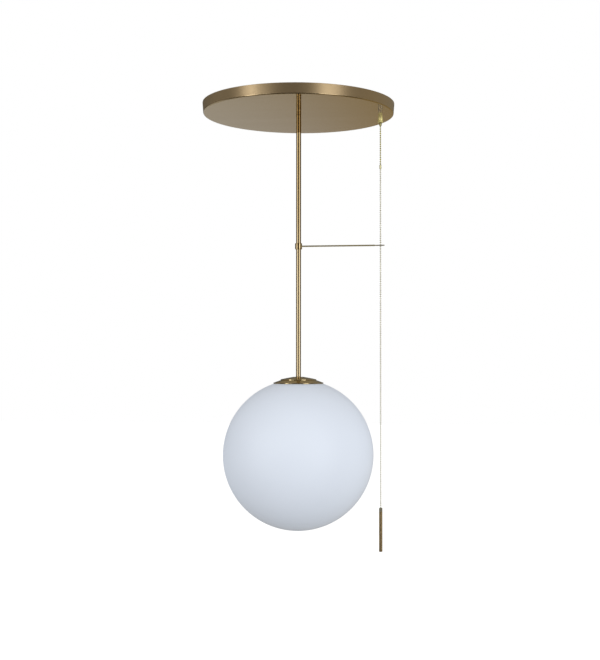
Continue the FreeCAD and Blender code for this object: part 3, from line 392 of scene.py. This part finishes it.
# Brass colours: clean, then aged.
SATIN = (0.45, 0.34, 0.200), (0.34, 0.245, 0.130)
BRIGHT = (0.95, 0.85, 0.38), (0.50, 0.42, 0.17)
CHAIN = (0.96, 0.945, 0.80), (0.78, 0.75, 0.52)
OLD_CHAIN = (0.70, 0.64, 0.07), (0.40, 0.35, 0.07)
ROD = (0.565, 0.46, 0.285), (0.345, 0.257, 0.125)
TURNED = (0.47, 0.365, 0.205), (0.43, 0.32, 0.17)
CAP = (0.455, 0.37, 0.215), (0.33, 0.255, 0.135)
ARM = (0.66, 0.60, 0.36), (0.46, 0.41, 0.20)
FERRULE = (0.33, 0.31, 0.235), (0.25, 0.23, 0.165)
COUPLING = (0.80, 0.76, 0.42), (0.52, 0.48, 0.28)
OLD_COUPLING = (0.52, 0.48, 0.24), (0.34, 0.31, 0.13)
GRIP = (0.405, 0.30, 0.165), (0.33, 0.24, 0.125)

# Painted shade along a piece, as (axis, start, end, second colour): the rod darker toward the canopy, the
# arm's paddle end darker to dim its highlight. The bell's painted reflection: the colour that other metal
# shows of it.
ROD_PAINTED_SHADE = (2, -0.40, -0.12, (0.405, 0.30, 0.155))
# Painted shade: the arm's paddle end is darker, which dims its highlight.
PADDLE_PAINTED_SHADE = (0, 0.1485, 0.1505, (0.26, 0.235, 0.135))
# Painted reflection: the bell as other metal shows it, paler than its own colour.
BELL_PAINTED_REFLECTION = (0.66, 0.65, 0.62)

# Brush lines: across, around, along.
FACE_LINES = (1500.0, 5.0, 1500.0)
RIM_LINES = (2600.0, 5.0, 2600.0)
ROD_LINES = (100.0, 12.0, 6.0)
ARM_LINES = (900.0, 6.0, 900.0)
LATHE_LINES = (4200.0, 3.0, 4200.0)
HANDLE_LINES = (4200.0, 3.0, 5200.0)
BELL_LINES = (5200.0, 3.0, 5200.0)
CHAIN_LINES = (3000.0, 4.0, 900.0)

rim_brass = brass("rim_brass", *SATIN, 0.42, RIM_LINES, brushed=0.65, smudges=0.08, metal=0.87)
face_brass = brass(
    "face_brass", *SATIN, 0.12, FACE_LINES, brushed=1.0, line_tone=0.05, line_depth=0.003, smudges=0.04,
    straight=True, uneven=0.25,
)
edge_brass = brass("edge_brass", *SATIN, 0.16, RIM_LINES, smudges=0.08, uneven=0.5)
rod_brass = brass(
    "rod_brass", *ROD, 0.05, ROD_LINES, line_depth=0.002, smudges=0.10, smudge_scale=8.0, uneven=0.2,
    painted_shade=ROD_PAINTED_SHADE,
)
cap_brass = brass("cap_brass", *CAP, 0.18, LATHE_LINES, brushed=0.60, smudge_scale=60.0)
arm_brass = brass("arm_brass", *ARM, 0.44, ARM_LINES, smudge_scale=60.0, painted_shade=PADDLE_PAINTED_SHADE)
turned_brass = brass("turned_brass", *TURNED, 0.10, LATHE_LINES, smudge_scale=60.0)
ferrule_brass = brass("ferrule_brass", *FERRULE, 0.34, HANDLE_LINES, CHAIN_X, smudge_scale=80.0)
handle_brass = brass(
    "handle_brass", *GRIP, 0.36, HANDLE_LINES, CHAIN_X, line_depth=0.015, smudges=0.10, smudge_scale=40.0,
    uneven=0.6,
)
bell_brass = brass(
    "bell_brass", *BRIGHT, 0.34, BELL_LINES, CHAIN_X, smudge_scale=140.0, metal=0.60, painted_reflection=BELL_PAINTED_REFLECTION
)
chain_brass = brass("chain_brass", *CHAIN, 0.22, CHAIN_LINES, CHAIN_X, smudge_scale=120.0, metal=0.85)
coupling_brass = brass("coupling_brass", *COUPLING, 0.26, CHAIN_LINES, CHAIN_X, smudge_scale=120.0)
old_coupling_brass = brass(
    "old_coupling_brass", *OLD_COUPLING, 0.30, CHAIN_LINES, CHAIN_X, smudge_scale=120.0
)
old_chain_brass = brass("old_chain_brass", *OLD_CHAIN, 0.26, CHAIN_LINES, CHAIN_X, smudge_scale=120.0)

opal_glass = opal("opal_glass")
zinc = plain("zinc_steel", (0.62, 0.63, 0.64), 0.36, grain=500.0, vary=0.22, metallic=1.0)
black_steel = plain("black_steel", (0.07, 0.07, 0.072), 0.42, grain=700.0, vary=0.25, metallic=1.0)
spring_steel = plain("spring_steel", (0.50, 0.50, 0.52), 0.28, grain=1200.0, metallic=1.0)
nickel = plain("nickel", (0.68, 0.65, 0.60), 0.22, grain=800.0, vary=0.10, metallic=1.0)
cast_aluminium = plain("cast_aluminium", (0.66, 0.67, 0.68), 0.40, metallic=1.0)
inner_brass = plain("inner_brass", (0.62, 0.47, 0.22), 0.30, vary=0.18, metallic=1.0)
white_plastic = plain("white_plastic", (0.80, 0.79, 0.75), 0.42, grain=1500.0, vary=0.06)
black_plastic = plain("black_plastic", (0.035, 0.034, 0.033), 0.46, grain=1500.0, vary=0.20)
ceramic = plain("ceramic", (0.84, 0.82, 0.77), 0.55, grain=1100.0, vary=0.07)
silicone = plain("silicone", (0.72, 0.72, 0.70), 0.60, grain=1300.0, vary=0.08)
frosted = plain("frosted_lamp", (0.86, 0.86, 0.84), 0.50, grain=1600.0, vary=0.03)
brown_sleeve = plain("brown_sleeve", (0.14, 0.055, 0.025), 0.40, grain=1500.0)
grey_sleeve = plain("grey_sleeve", (0.20, 0.20, 0.21), 0.40, grain=1500.0)
blue_sleeve = plain("blue_sleeve", (0.02, 0.07, 0.30), 0.40, grain=1500.0)
earth_sleeve = plain("earth_sleeve", (0.16, 0.34, 0.04), 0.40, grain=1500.0)

# The nodes that show as the CAD made them.
BARE_NODES = {
    arm_brass: ["guide_arm"],
    zinc: [
        "ceiling_bracket", "load_washer", "rod_lock_nut", "rod_top_nipple", "rod_bottom_nipple", "cap_nut",
        "terminal_screws", "terminal_block_screw", "switch_cover_screws",
    ],
    black_steel: ["bracket_grub_screws", "collar_grub_screw"],
    spring_steel: ["switch_spring", "rotor_axle"],
    nickel: ["earth_tag", "screw_shell", "bulb_base"],
    cast_aluminium: ["globe_fitter", "globe_ring"],
    inner_brass: ["terminal_barrels", "contact_blades", "centre_contact", "switch_bush", "captive_chain"],
    white_plastic: ["terminal_block", "switch_plunger", "contact_rotor"],
    black_plastic: ["switch_case", "switch_cover", "lampholder_cap", "lampholder_skirt"],
    ceramic: ["lampholder_insert"],
    silicone: ["globe_gasket"],
    frosted: ["bulb_envelope"],
    brown_sleeve: ["live_wire"],
    grey_sleeve: ["switched_wire"],
    blue_sleeve: ["neutral_wire"],
    earth_sleeve: ["earth_wire"],
}
for finish, names in BARE_NODES.items():
    for name in names:
        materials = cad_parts[name].data.materials
        materials.clear()
        materials.append(finish)


# Mesh making

WELD = 1e-7
SLIVER = 1e-14
HOLD_IN = 0.0004
LONG_RUN = 5 * HOLD_IN
HOLE_SIDES = 48
LEVEL_LEAN = 0.8
EDGE_LEAN = 0.12


def add_object(name, data):
    item = bpy.data.objects.new(name, data)
    bpy.context.scene.collection.objects.link(item)
    return item


def mesh_of(name, bm):
    mesh = bpy.data.meshes.new(name)
    bm.to_mesh(mesh)
    bm.free()
    return mesh


def finish_piece(name, bm, finish, body, slot, nodes, sharp=30.0, flat_finish=None, edge_finish=None):
    """Makes the bmesh an object that rides on a body and stands for CAD nodes.

    With a flat_finish, level faces take that one and sloping faces take edge_finish.
    """
    mesh = mesh_of(name, bm)
    mesh.shade_smooth()
    mesh.set_sharp_from_angle(angle=math.radians(sharp))
    mesh.materials.append(finish)
    if flat_finish:
        mesh.materials.append(flat_finish)
        mesh.materials.append(edge_finish)
        for polygon in mesh.polygons:
            lean = abs(polygon.normal.z)
            polygon.material_index = 1 if lean > LEVEL_LEAN else 2 if lean > EDGE_LEAN else 0
    piece = add_object(name, mesh)
    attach(piece, body)
    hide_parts(*nodes)
    return piece


def hold_straight_runs(bm):
    """Splits each long run of a profile near its ends, so that rounded corners don't tilt its shading."""
    for edge in bm.edges[:]:
        run = edge.calc_length()
        if run < LONG_RUN:
            continue
        start, end = edge.verts
        held = bmesh.utils.edge_split(edge, start, HOLD_IN / run)[1]
        rest = next(e for e in held.link_edges if e.other_vert(held) is end)
        bmesh.utils.edge_split(rest, end, HOLD_IN / (run - HOLD_IN))


def turn(profile, steps, x=0.0):
    """A closed (radius, z, corner cut, segments) profile, its corners rounded, turned about an axis at x."""
    bm = bmesh.new()
    verts = [bm.verts.new((x + p[0], 0.0, p[1])) for p in profile]
    for pair in zip(verts, verts[1:] + verts[:1]):
        bm.edges.new(pair)
    for vert, point in zip(verts, profile):
        if len(point) > 2:
            bmesh.ops.bevel(
                bm, geom=[vert], offset=point[2], offset_type="OFFSET", segments=point[3],
                profile=0.5, affect="VERTICES", material=-1,
            )
    hold_straight_runs(bm)
    bmesh.ops.spin(
        bm, geom=bm.verts[:] + bm.edges[:], cent=(x, 0, 0), axis=(0, 0, 1), dvec=(0, 0, 0), angle=FULL_TURN,
        steps=steps, use_merge=True, use_normal_flip=False, use_duplicate=False,
    )
    bmesh.ops.remove_doubles(bm, verts=bm.verts[:], dist=WELD)
    flat = [f for f in bm.faces if f.calc_area() < SLIVER]
    if flat:
        bmesh.ops.delete(bm, geom=flat, context="FACES")
    bmesh.ops.recalc_face_normals(bm, faces=bm.faces[:])
    return bm


def drill(bm, holes):
    """Cuts round holes, each (start, end, radius), through a turned piece."""
    bits = bmesh.new()
    for start, end, radius in holes:
        start, end = Vector(start), Vector(end)
        aim = (end - start).to_track_quat("Z", "Y").to_matrix().to_4x4()
        bmesh.ops.create_cone(
            bits, cap_ends=True, segments=HOLE_SIDES, radius1=radius, radius2=radius,
            depth=(end - start).length, matrix=Matrix.Translation((start + end) / 2) @ aim,
        )
    blank = add_object("blank", mesh_of("blank", bm))
    cutter = add_object("bits", mesh_of("bits", bits))
    cut = blank.modifiers.new("holes", "BOOLEAN")
    cut.operation = "DIFFERENCE"
    cut.solver = "EXACT"
    cut.object = cutter
    bpy.context.view_layer.update()
    drilled = bmesh.new()
    drilled.from_object(blank, bpy.context.evaluated_depsgraph_get())
    for holder in (blank, cutter):
        mesh = holder.data
        bpy.data.objects.remove(holder)
        bpy.data.meshes.remove(mesh)
    bmesh.ops.remove_doubles(drilled, verts=drilled.verts[:], dist=WELD)
    bmesh.ops.recalc_face_normals(drilled, faces=drilled.faces[:])
    return drilled


def dress(name, profile, steps, finish, body, slot, nodes, x=0.0, holes=(), **finishes):
    """Turns a profile, drills its holes and makes it a piece."""
    bm = turn(profile, steps, x)
    if holes:
        bm = drill(bm, holes)
    return finish_piece(name, bm, finish, body, slot, nodes, **finishes)


# Canopy: a spun dish with a soft lower edge, a hole for the switch's bush and two for the rim screws.
canopy_profile = [
    (CANOPY_TOP_R, CEILING_Z, 0.0003, 2),
    (CANOPY_FACE_R, CANOPY_FACE_Z, 0.0017, 6),
    (NIPPLE_HOLE_R, CANOPY_FACE_Z, 0.0002, 2),
    (NIPPLE_HOLE_R, CANOPY_FACE_Z + CANOPY_SHEET),
    (0.1892, CANOPY_FACE_Z + CANOPY_SHEET, 0.0005, 2),
    (0.1908, CEILING_Z, 0.0003, 2),
]
canopy_holes = [
    ((CHAIN_X, 0, CANOPY_FACE_Z - 0.002), (CHAIN_X, 0, CANOPY_FACE_Z + 0.003), BUSH_HOLE_R),
    ((-RIM_OUTSIDE_X, 0, RIM_SCREW_Z), (-RIM_INSIDE_X, 0, RIM_SCREW_Z), RIM_SCREW_R),
    ((RIM_INSIDE_X, 0, RIM_SCREW_Z), (RIM_OUTSIDE_X, 0, RIM_SCREW_Z), RIM_SCREW_R),
]
dress(
    "canopy_disc", canopy_profile, 192, rim_brass, "fixture", "brushed_brass", ["canopy"],
    holes=canopy_holes, flat_finish=face_brass, edge_finish=edge_brass,
)

# Rod: a plain tube.
rod_profile = [
    (ROD_R, CANOPY_FACE_Z, 0.0003, 2),
    (ROD_R, ROD_BOTTOM_Z, 0.0003, 2),
    (ROD_BORE_R, ROD_BOTTOM_Z),
    (ROD_BORE_R, CANOPY_FACE_Z),
]
dress("stem_rod", rod_profile, 64, rod_brass, "fixture", "brushed_brass", ["rod"])

# Collar with its rounded ends, the arm's socket and the grub screw's hole.
collar_profile = [
    (COLLAR_BORE_R, ARM_Z + COLLAR_HALF),
    (COLLAR_R, ARM_Z + COLLAR_HALF, COLLAR_ROUND, 5),
    (COLLAR_R, ARM_Z - COLLAR_HALF, COLLAR_ROUND, 5),
    (COLLAR_BORE_R, ARM_Z - COLLAR_HALF),
]
collar_holes = [
    ((COLLAR_INSIDE, 0, ARM_Z), (COLLAR_OUTSIDE, 0, ARM_Z), ARM_SOCKET_R),
    ((0, COLLAR_INSIDE, ARM_Z), (0, COLLAR_OUTSIDE, ARM_Z), COLLAR_SCREW_R),
]
dress(
    "arm_collar_ring", collar_profile, 64, turned_brass, "fixture", "brushed_brass", ["arm_collar"],
    holes=collar_holes,
)

# Globe cap: low dome, step, sloping brim and lip, then the inside.
cap_profile = [
    (NIPPLE_HOLE_R, ROD_BOTTOM_Z - 0.00010),
    (0.0090, ROD_BOTTOM_Z - 0.00010, 0.0040, 6),
    (0.0210, ROD_BOTTOM_Z - 0.0022, 0.0030, 5),
    (0.0290, ROD_BOTTOM_Z - 0.0038, 0.0030, 5),
    (0.0355, CAP_RIM_Z + 0.0083, 0.0003, 4),
    (0.0357, CAP_RIM_Z + 0.0066, 0.0002, 4),
    (0.0500, CAP_RIM_Z + 0.0015, 0.0006, 5),
    (0.0500, CAP_RIM_Z, 0.0002, 3),
    (0.0489, CAP_RIM_Z, 0.0002, 2),
    (0.0489, CAP_RIM_Z + 0.0008),
    (0.0349, CAP_RIM_Z + 0.0057),
    (0.0342, CAP_RIM_Z + 0.0072),
    (0.0288, ROD_BOTTOM_Z - 0.0050),
    (0.0208, ROD_BOTTOM_Z - 0.0034),
    (0.0085, ROD_BOTTOM_Z - 0.00125),
    (NIPPLE_HOLE_R, ROD_BOTTOM_Z - 0.00125),
]
dress("globe_cap_dome", cap_profile, 128, cap_brass, "fixture", "brushed_brass", ["globe_cap"])


def blow_globe():
    """A blown glass shell with a ground hole at the top."""
    middle_r = (GLOBE_R + GLOBE_INNER_R) / 2
    bm = bmesh.new()
    bmesh.ops.create_uvsphere(bm, u_segments=160, v_segments=96, radius=middle_r)
    bmesh.ops.translate(bm, vec=(0, 0, GLOBE_Z), verts=bm.verts[:])
    cut_z = GLOBE_Z + math.sqrt(middle_r ** 2 - GLOBE_HOLE_R ** 2)
    bmesh.ops.bisect_plane(
        bm, geom=bm.verts[:] + bm.edges[:] + bm.faces[:], plane_co=(0, 0, cut_z), plane_no=(0, 0, 1),
        clear_outer=True,
    )
    bmesh.ops.recalc_face_normals(bm, faces=bm.faces[:])
    bmesh.ops.solidify(bm, geom=bm.faces[:], thickness=GLOBE_R - GLOBE_INNER_R)
    far = max((v.co - Vector((0, 0, GLOBE_Z))).length for v in bm.verts)
    bmesh.ops.scale(
        bm, vec=(GLOBE_R / far,) * 3, space=Matrix.Translation((0, 0, -GLOBE_Z)), verts=bm.verts[:]
    )
    return bm


finish_piece("opal_globe", blow_globe(), opal_glass, "globe_unit", "opal_glass", ["globe"], 40.0)

# Bell at the chain's outlet.
bell_profile = [
    (BELL_BORE_R, CANOPY_FACE_Z),
    (0.0033, CANOPY_FACE_Z),
    (0.0033, CANOPY_FACE_Z - 0.0015, 0.0008, 4),
    (0.0049, CANOPY_FACE_Z - 0.0100, 0.0020, 5),
    (0.0049, BELL_BOTTOM_Z + 0.0034, 0.0010, 4),
    (0.0053, BELL_BOTTOM_Z + 0.0007, 0.0003, 3),
    (0.0053, BELL_BOTTOM_Z, 0.0003, 3),
    (0.0044, BELL_BOTTOM_Z, 0.0002, 2),
    (0.0040, BELL_BOTTOM_Z + 0.0030),
    (0.0040, CANOPY_FACE_Z - 0.0135),
    (BELL_BORE_R, CANOPY_FACE_Z - 0.0120),
]
dress("chain_bell", bell_profile, 48, bell_brass, "fixture", "polished_brass", ["switch_bell"], CHAIN_X)


# Pull chain

ROUTE_END = 6 * 2 * BEAD_R
BEAD_FACETS = (12, 7)
SWIVEL_FACETS = (24, 14)
LINK_SIDES = 8
CHAIN_SHARP = 50.0
BARREL_STEPS = 40


def read_route(name, points):
    """Points along the NURBS line through a route's points; its holder is removed again."""
    data = bpy.data.curves.new(name, "CURVE")
    data.dimensions = "3D"
    data.resolution_u = 24
    spline = data.splines.new("NURBS")
    spline.points.add(len(points) - 1)
    for point, place in zip(spline.points, points):
        point.co = (*place, 1.0)
    spline.order_u = 3
    spline.use_endpoint_u = True
    holder = add_object(name, data)
    bpy.context.view_layer.update()
    line = bpy.data.meshes.new_from_object(holder)
    route = [v.co.copy() for v in line.vertices]
    bpy.data.objects.remove(holder)
    bpy.data.meshes.remove(line)
    return route


def along_route(route, distance):
    """The point a distance along a route from its start."""
    for a, b in zip(route, route[1:]):
        run = (b - a).length
        if distance <= run:
            return a + (b - a) * (distance / run if run else 0.0)
        distance -= run
    return route[-1].copy()


def add_bead(bm, centre, facets):
    made = bmesh.ops.create_uvsphere(bm, u_segments=facets[0], v_segments=facets[1], radius=BEAD_R)
    bmesh.ops.translate(bm, vec=centre, verts=made["verts"])


def string_beads(name, top, bottom, first, last, body, node, finish):
    """Beads strung on short links along the chain's hanging line, and that line's points."""
    end_run = min(ROUTE_END, (top - bottom) / 3)
    heights = (top, top - end_run, bottom + end_run, bottom)
    route = read_route(name + "_route", [(CHAIN_X, 0, z) for z in heights])
    count = round((first - last) / BEAD_PITCH)
    centres = [along_route(route, top - first + (first - last) * i / count) for i in range(count + 1)]
    bm = bmesh.new()
    for centre in centres:
        add_bead(bm, centre, BEAD_FACETS)
    into_bead = Vector((0, 0, BEAD_R / 2))
    links = [(route[0], centres[0] + into_bead), (centres[-1] - into_bead, route[-1])]
    links += [(a - into_bead, b + into_bead) for a, b in zip(centres, centres[1:])]
    for upper, lower in links:
        if upper.z <= lower.z:
            continue
        made = bmesh.ops.create_cone(
            bm, cap_ends=True, segments=LINK_SIDES, radius1=LINK_R, radius2=LINK_R, depth=upper.z - lower.z
        )
        bmesh.ops.translate(bm, vec=(upper + lower) / 2, verts=made["verts"])
    piece = finish_piece(name, bm, finish, body, "polished_brass", [node], CHAIN_SHARP)
    return piece, route


def barrel_profile(top, bottom, radius, cut):
    return [(CHAIN_BORE_R, top), (radius, top, cut, 4), (radius, bottom, cut, 4), (CHAIN_BORE_R, bottom)]


upper_coupling = dress(
    "upper_coupling", barrel_profile(*COUPLING_UPPER, 0.00275, 0.0009), BARREL_STEPS, old_coupling_brass,
    "pull_train", "polished_brass", ["chain_coupling_upper"], CHAIN_X,
)
lower_coupling = dress(
    "lower_coupling", barrel_profile(*COUPLING_LOWER, 0.0020, 0.0007), BARREL_STEPS, coupling_brass,
    "pull_train", "polished_brass", ["chain_coupling_lower"], CHAIN_X,
)
chain_upper, route_upper = string_beads(
    "chain_above", COUPLING_UPPER[1], COUPLING_LOWER[0], COUPLING_UPPER[1] - FIRST_BEAD,
    COUPLING_LOWER[0] + FIRST_BEAD, "pull_train", "chain_upper", old_chain_brass,
)
chain_middle, route_middle = string_beads(
    "chain_to_arm", COUPLING_LOWER[1], SWIVEL_TOP_Z, COUPLING_LOWER[1] - FIRST_BEAD, SWIVEL_Z + BEAD_PITCH,
    "pull_train", "chain_middle", chain_brass,
)
chain_lower, route_lower = string_beads(
    "chain_below_arm", SWIVEL_LOW_Z, ANCHOR_Z, SWIVEL_Z - BEAD_PITCH, ANCHOR_Z, "chain_hang", "chain_lower",
    chain_brass,
)

swivel_bm = bmesh.new()
add_bead(swivel_bm, (CHAIN_X, 0, SWIVEL_Z), SWIVEL_FACETS)
finish_piece("swivel_ball", swivel_bm, chain_brass, "chain_swivel", "polished_brass", ["swivel_bead"])

# Handle: a ferrule with a pin, and a plain cylinder on it with a fine joint between them.
ferrule_profile = [
    (CHAIN_BORE_R, HANDLE_TOP_Z),
    (HANDLE_R, HANDLE_TOP_Z, 0.0004, 4),
    (HANDLE_R, FERRULE_BOTTOM_Z, 0.0003, 3),
    (PIN_R, FERRULE_BOTTOM_Z),
    (PIN_R, FERRULE_BOTTOM_Z - PIN_LENGTH),
    (CHAIN_BORE_R, FERRULE_BOTTOM_Z - PIN_LENGTH),
]
ferrule = dress(
    "pull_ferrule", ferrule_profile, BARREL_STEPS, ferrule_brass, "chain_hang", "brushed_brass",
    ["handle_ferrule"], CHAIN_X,
)
handle_profile = [
    (PIN_HOLE_R, FERRULE_BOTTOM_Z),
    (HANDLE_R, FERRULE_BOTTOM_Z, 0.0003, 3),
    (HANDLE_R, HANDLE_BOTTOM_Z, 0.0004, 4),
    (0.0, HANDLE_BOTTOM_Z),
    (0.0, FERRULE_BOTTOM_Z - PIN_HOLE_DEPTH),
    (PIN_HOLE_R, FERRULE_BOTTOM_Z - PIN_HOLE_DEPTH),
]
dress(
    "pull_grip", handle_profile, BARREL_STEPS, handle_brass, "chain_hang", "brushed_brass", ["pull_handle"],
    CHAIN_X,
)


# Floor: pale to the camera; for metal it glows as painted light, dark in front and cooler on the left, and on
# the right it also glows for diffuse rays, a painted bounce light.

FLOOR_Z = -2.4
FLOOR_HALF = 30.0
FLOOR_ROUGH = 0.8
FLOOR_SEEN = (0.72, 0.72, 0.72)
FLOOR_PAINT = (0.60, 0.60, 0.60)
FLOOR_PAINT_IN_METAL = (0.03, 0.03, 0.03)
FLOOR_LEFT = (0.68, 0.86, 1.62)
FLOOR_RIGHT = (0.42, 0.40, 0.36)
FLOOR_LEFT_TO_RIGHT = (-3.2, -0.4)
FLOOR_DARK_TO_TONE = (-1.5, 1.5)
FLOOR_NEAR_TINT = (0.785, 0.67, 0.39)
FLOOR_FAR_TINT = (0.885, 0.80, 0.56)
FLOOR_NEAR_TO_FAR = (10.2, 12.3)
FLOOR_BOUNCE = (0.375, 0.385, 0.40)
FLOOR_BOUNCE_RUN = (0.4, 3.0)


def pale_floor():
    bm = bmesh.new()
    bmesh.ops.create_grid(bm, x_segments=1, y_segments=1, size=FLOOR_HALF)
    bmesh.ops.translate(bm, vec=(0, 0, FLOOR_Z), verts=bm.verts[:])
    floor = add_object("floor", mesh_of("floor", bm))
    finish, tree, shader = new_finish("pale_floor")
    x, y, _ = split(tree, centred(tree))
    path = add_node(tree, "ShaderNodeLightPath").outputs
    in_metal = mix_colour(tree, ramp(tree, x, *FLOOR_LEFT_TO_RIGHT), FLOOR_LEFT, FLOOR_RIGHT)
    in_metal = mix_colour(tree, ramp(tree, y, *FLOOR_DARK_TO_TONE), BLACK, in_metal)
    tint_share = ramp(tree, y, *FLOOR_NEAR_TO_FAR, kind="LINEAR")
    tint = mix_colour(tree, tint_share, FLOOR_NEAR_TINT, FLOOR_FAR_TINT)
    in_metal = mix_colour(tree, 1.0, in_metal, tint, blend="MULTIPLY")
    bounce = mix_colour(tree, ramp(tree, x, *FLOOR_BOUNCE_RUN), BLACK, FLOOR_BOUNCE)
    glow = mix_colour(tree, path["Is Glossy Ray"], bounce, in_metal)
    glow = mix_colour(tree, path["Is Camera Ray"], glow, FLOOR_SEEN)
    paint = mix_colour(tree, path["Is Glossy Ray"], FLOOR_PAINT, FLOOR_PAINT_IN_METAL)
    feed(tree, shader.inputs["Base Color"], paint)
    feed(tree, shader.inputs["Roughness"], FLOOR_ROUGH)
    feed(tree, shader.inputs["Emission Color"], glow)
    feed(tree, shader.inputs["Emission Strength"], 1.0)
    floor.data.materials.append(finish)


# Surroundings: white behind the object, a soft even fill, and a dim room for the metal to show.

FRONT_TONE = (0.072, 0.057, 0.036)
LEFT_WALL_TONE = (0.20, 0.178, 0.14)
RIGHT_WALL_TONE = (0.28, 0.255, 0.21)
BACK_LEFT_TONE = (0.06, 0.065, 0.07)
BACK_RIGHT_TONE = (0.32, 0.335, 0.35)
CEILING_TONE = (0.46, 0.42, 0.35)
LEFT_TO_RIGHT = (-0.9, 0.9)
SIDE_TO_BACK = (0.1, 0.9)
FRONT_TO_WALLS = (-1.0, -0.6)
WALLS_TO_CEILING = (0.15, 0.8)
FILL_FROM = (0.80, -0.45, 0.30)
FILL_LOW = (0.617, 0.624, 0.634)
FILL_HIGH = (0.752, 0.752, 0.757)
LOW_TO_HIGH = (-0.7, 0.9)


def studio_world():
    world = bpy.data.worlds.new("studio")
    bpy.context.scene.world = world
    world.use_nodes = True
    tree = world.node_tree
    back = next(n for n in tree.nodes if n.type == "BACKGROUND")
    way = add_node(tree, "ShaderNodeTexCoord").outputs["Generated"]
    x, y, z = split(tree, way)
    path = add_node(tree, "ShaderNodeLightPath").outputs
    side = ramp(tree, x, *LEFT_TO_RIGHT)
    walls = mix_colour(
        tree, ramp(tree, y, *SIDE_TO_BACK),
        mix_colour(tree, side, LEFT_WALL_TONE, RIGHT_WALL_TONE),
        mix_colour(tree, side, BACK_LEFT_TONE, BACK_RIGHT_TONE),
    )
    walls = mix_colour(tree, ramp(tree, y, *FRONT_TO_WALLS), FRONT_TONE, walls)
    room = mix_colour(tree, ramp(tree, z, *WALLS_TO_CEILING), walls, CEILING_TONE)
    toward = add_node(tree, "ShaderNodeVectorMath", operation="DOT_PRODUCT")
    feed(tree, toward.inputs[0], way)
    toward.inputs[1].default_value = FILL_FROM
    fill = mix_colour(tree, ramp(tree, toward.outputs["Value"], *LOW_TO_HIGH), FILL_LOW, FILL_HIGH)
    tone = mix_colour(tree, path["Is Diffuse Ray"], room, fill)
    tone = mix_colour(tree, path["Is Camera Ray"], tone, WHITE)
    tone = mix_colour(tree, path["Is Transmission Ray"], tone, WHITE)
    feed(tree, back.inputs["Color"], tone)
    feed(tree, back.inputs["Strength"], 1.0)


# Light and camera

VIEW_AZIMUTH = math.radians(7.6)
VIEW_DISTANCE = 2.320
EYE_Z = -0.5063
LENS_PIXELS = 1160.0
LONG_SIDE = 660.0
CENTRE = Vector((300.0, 330.0))
PRINCIPAL = Vector((340.0, 330.0))
HORIZON_Y = 356.8
ROD_PIXEL_X = 298.5
SENSOR = 36.0
SOFTBOX_Z = -0.30
SOFTBOX_AIM_Z = -0.40
SOFTBOX_HEIGHT = 2.0


def softbox(name, azimuth, distance, width, watts):
    """An upright area lamp at an azimuth counted from the camera's, turned to the object."""
    lamp = bpy.data.lights.new(name, "AREA")
    lamp.shape = "RECTANGLE"
    lamp.size, lamp.size_y = width, SOFTBOX_HEIGHT
    lamp.energy = watts
    holder = add_object(name, lamp)
    angle = VIEW_AZIMUTH + math.radians(azimuth)
    holder.location = (math.sin(angle) * distance, -math.cos(angle) * distance, SOFTBOX_Z)
    way = Vector((0, 0, SOFTBOX_AIM_Z)) - holder.location
    holder.rotation_euler = way.to_track_quat("-Z", "Y").to_euler()


def set_camera():
    """An eye a little right of the rod that looks slightly up, its lens shifted sideways."""
    toward_eye = Vector((math.sin(VIEW_AZIMUTH), -math.cos(VIEW_AZIMUTH), 0))
    right = Vector((math.cos(VIEW_AZIMUTH), math.sin(VIEW_AZIMUTH), 0))
    eye = toward_eye * VIEW_DISTANCE + right * ((PRINCIPAL.x - ROD_PIXEL_X) / LENS_PIXELS * VIEW_DISTANCE)
    eye.z = EYE_Z
    camera = bpy.data.cameras.new("camera")
    camera.sensor_width = SENSOR
    camera.lens = SENSOR * LENS_PIXELS / LONG_SIDE
    camera.shift_x = (CENTRE.x - PRINCIPAL.x) / LONG_SIDE
    viewer = add_object("camera", camera)
    viewer.location = eye
    aim = eye - toward_eye * LENS_PIXELS + Vector((0, 0, HORIZON_Y - PRINCIPAL.y))
    viewer.rotation_euler = (aim - eye).to_track_quat("-Z", "Y").to_euler()
    bpy.context.scene.camera = viewer


pale_floor()
studio_world()
softbox("softbox_left", -54, 2.4, 0.62, 12.8)
softbox("softbox_left_inner", -36, 2.5, 0.60, 3.0)
softbox("softbox_right", 37.0, 2.6, 1.15, 18.8)
set_camera()
bpy.context.scene.view_settings.view_transform = "Standard"
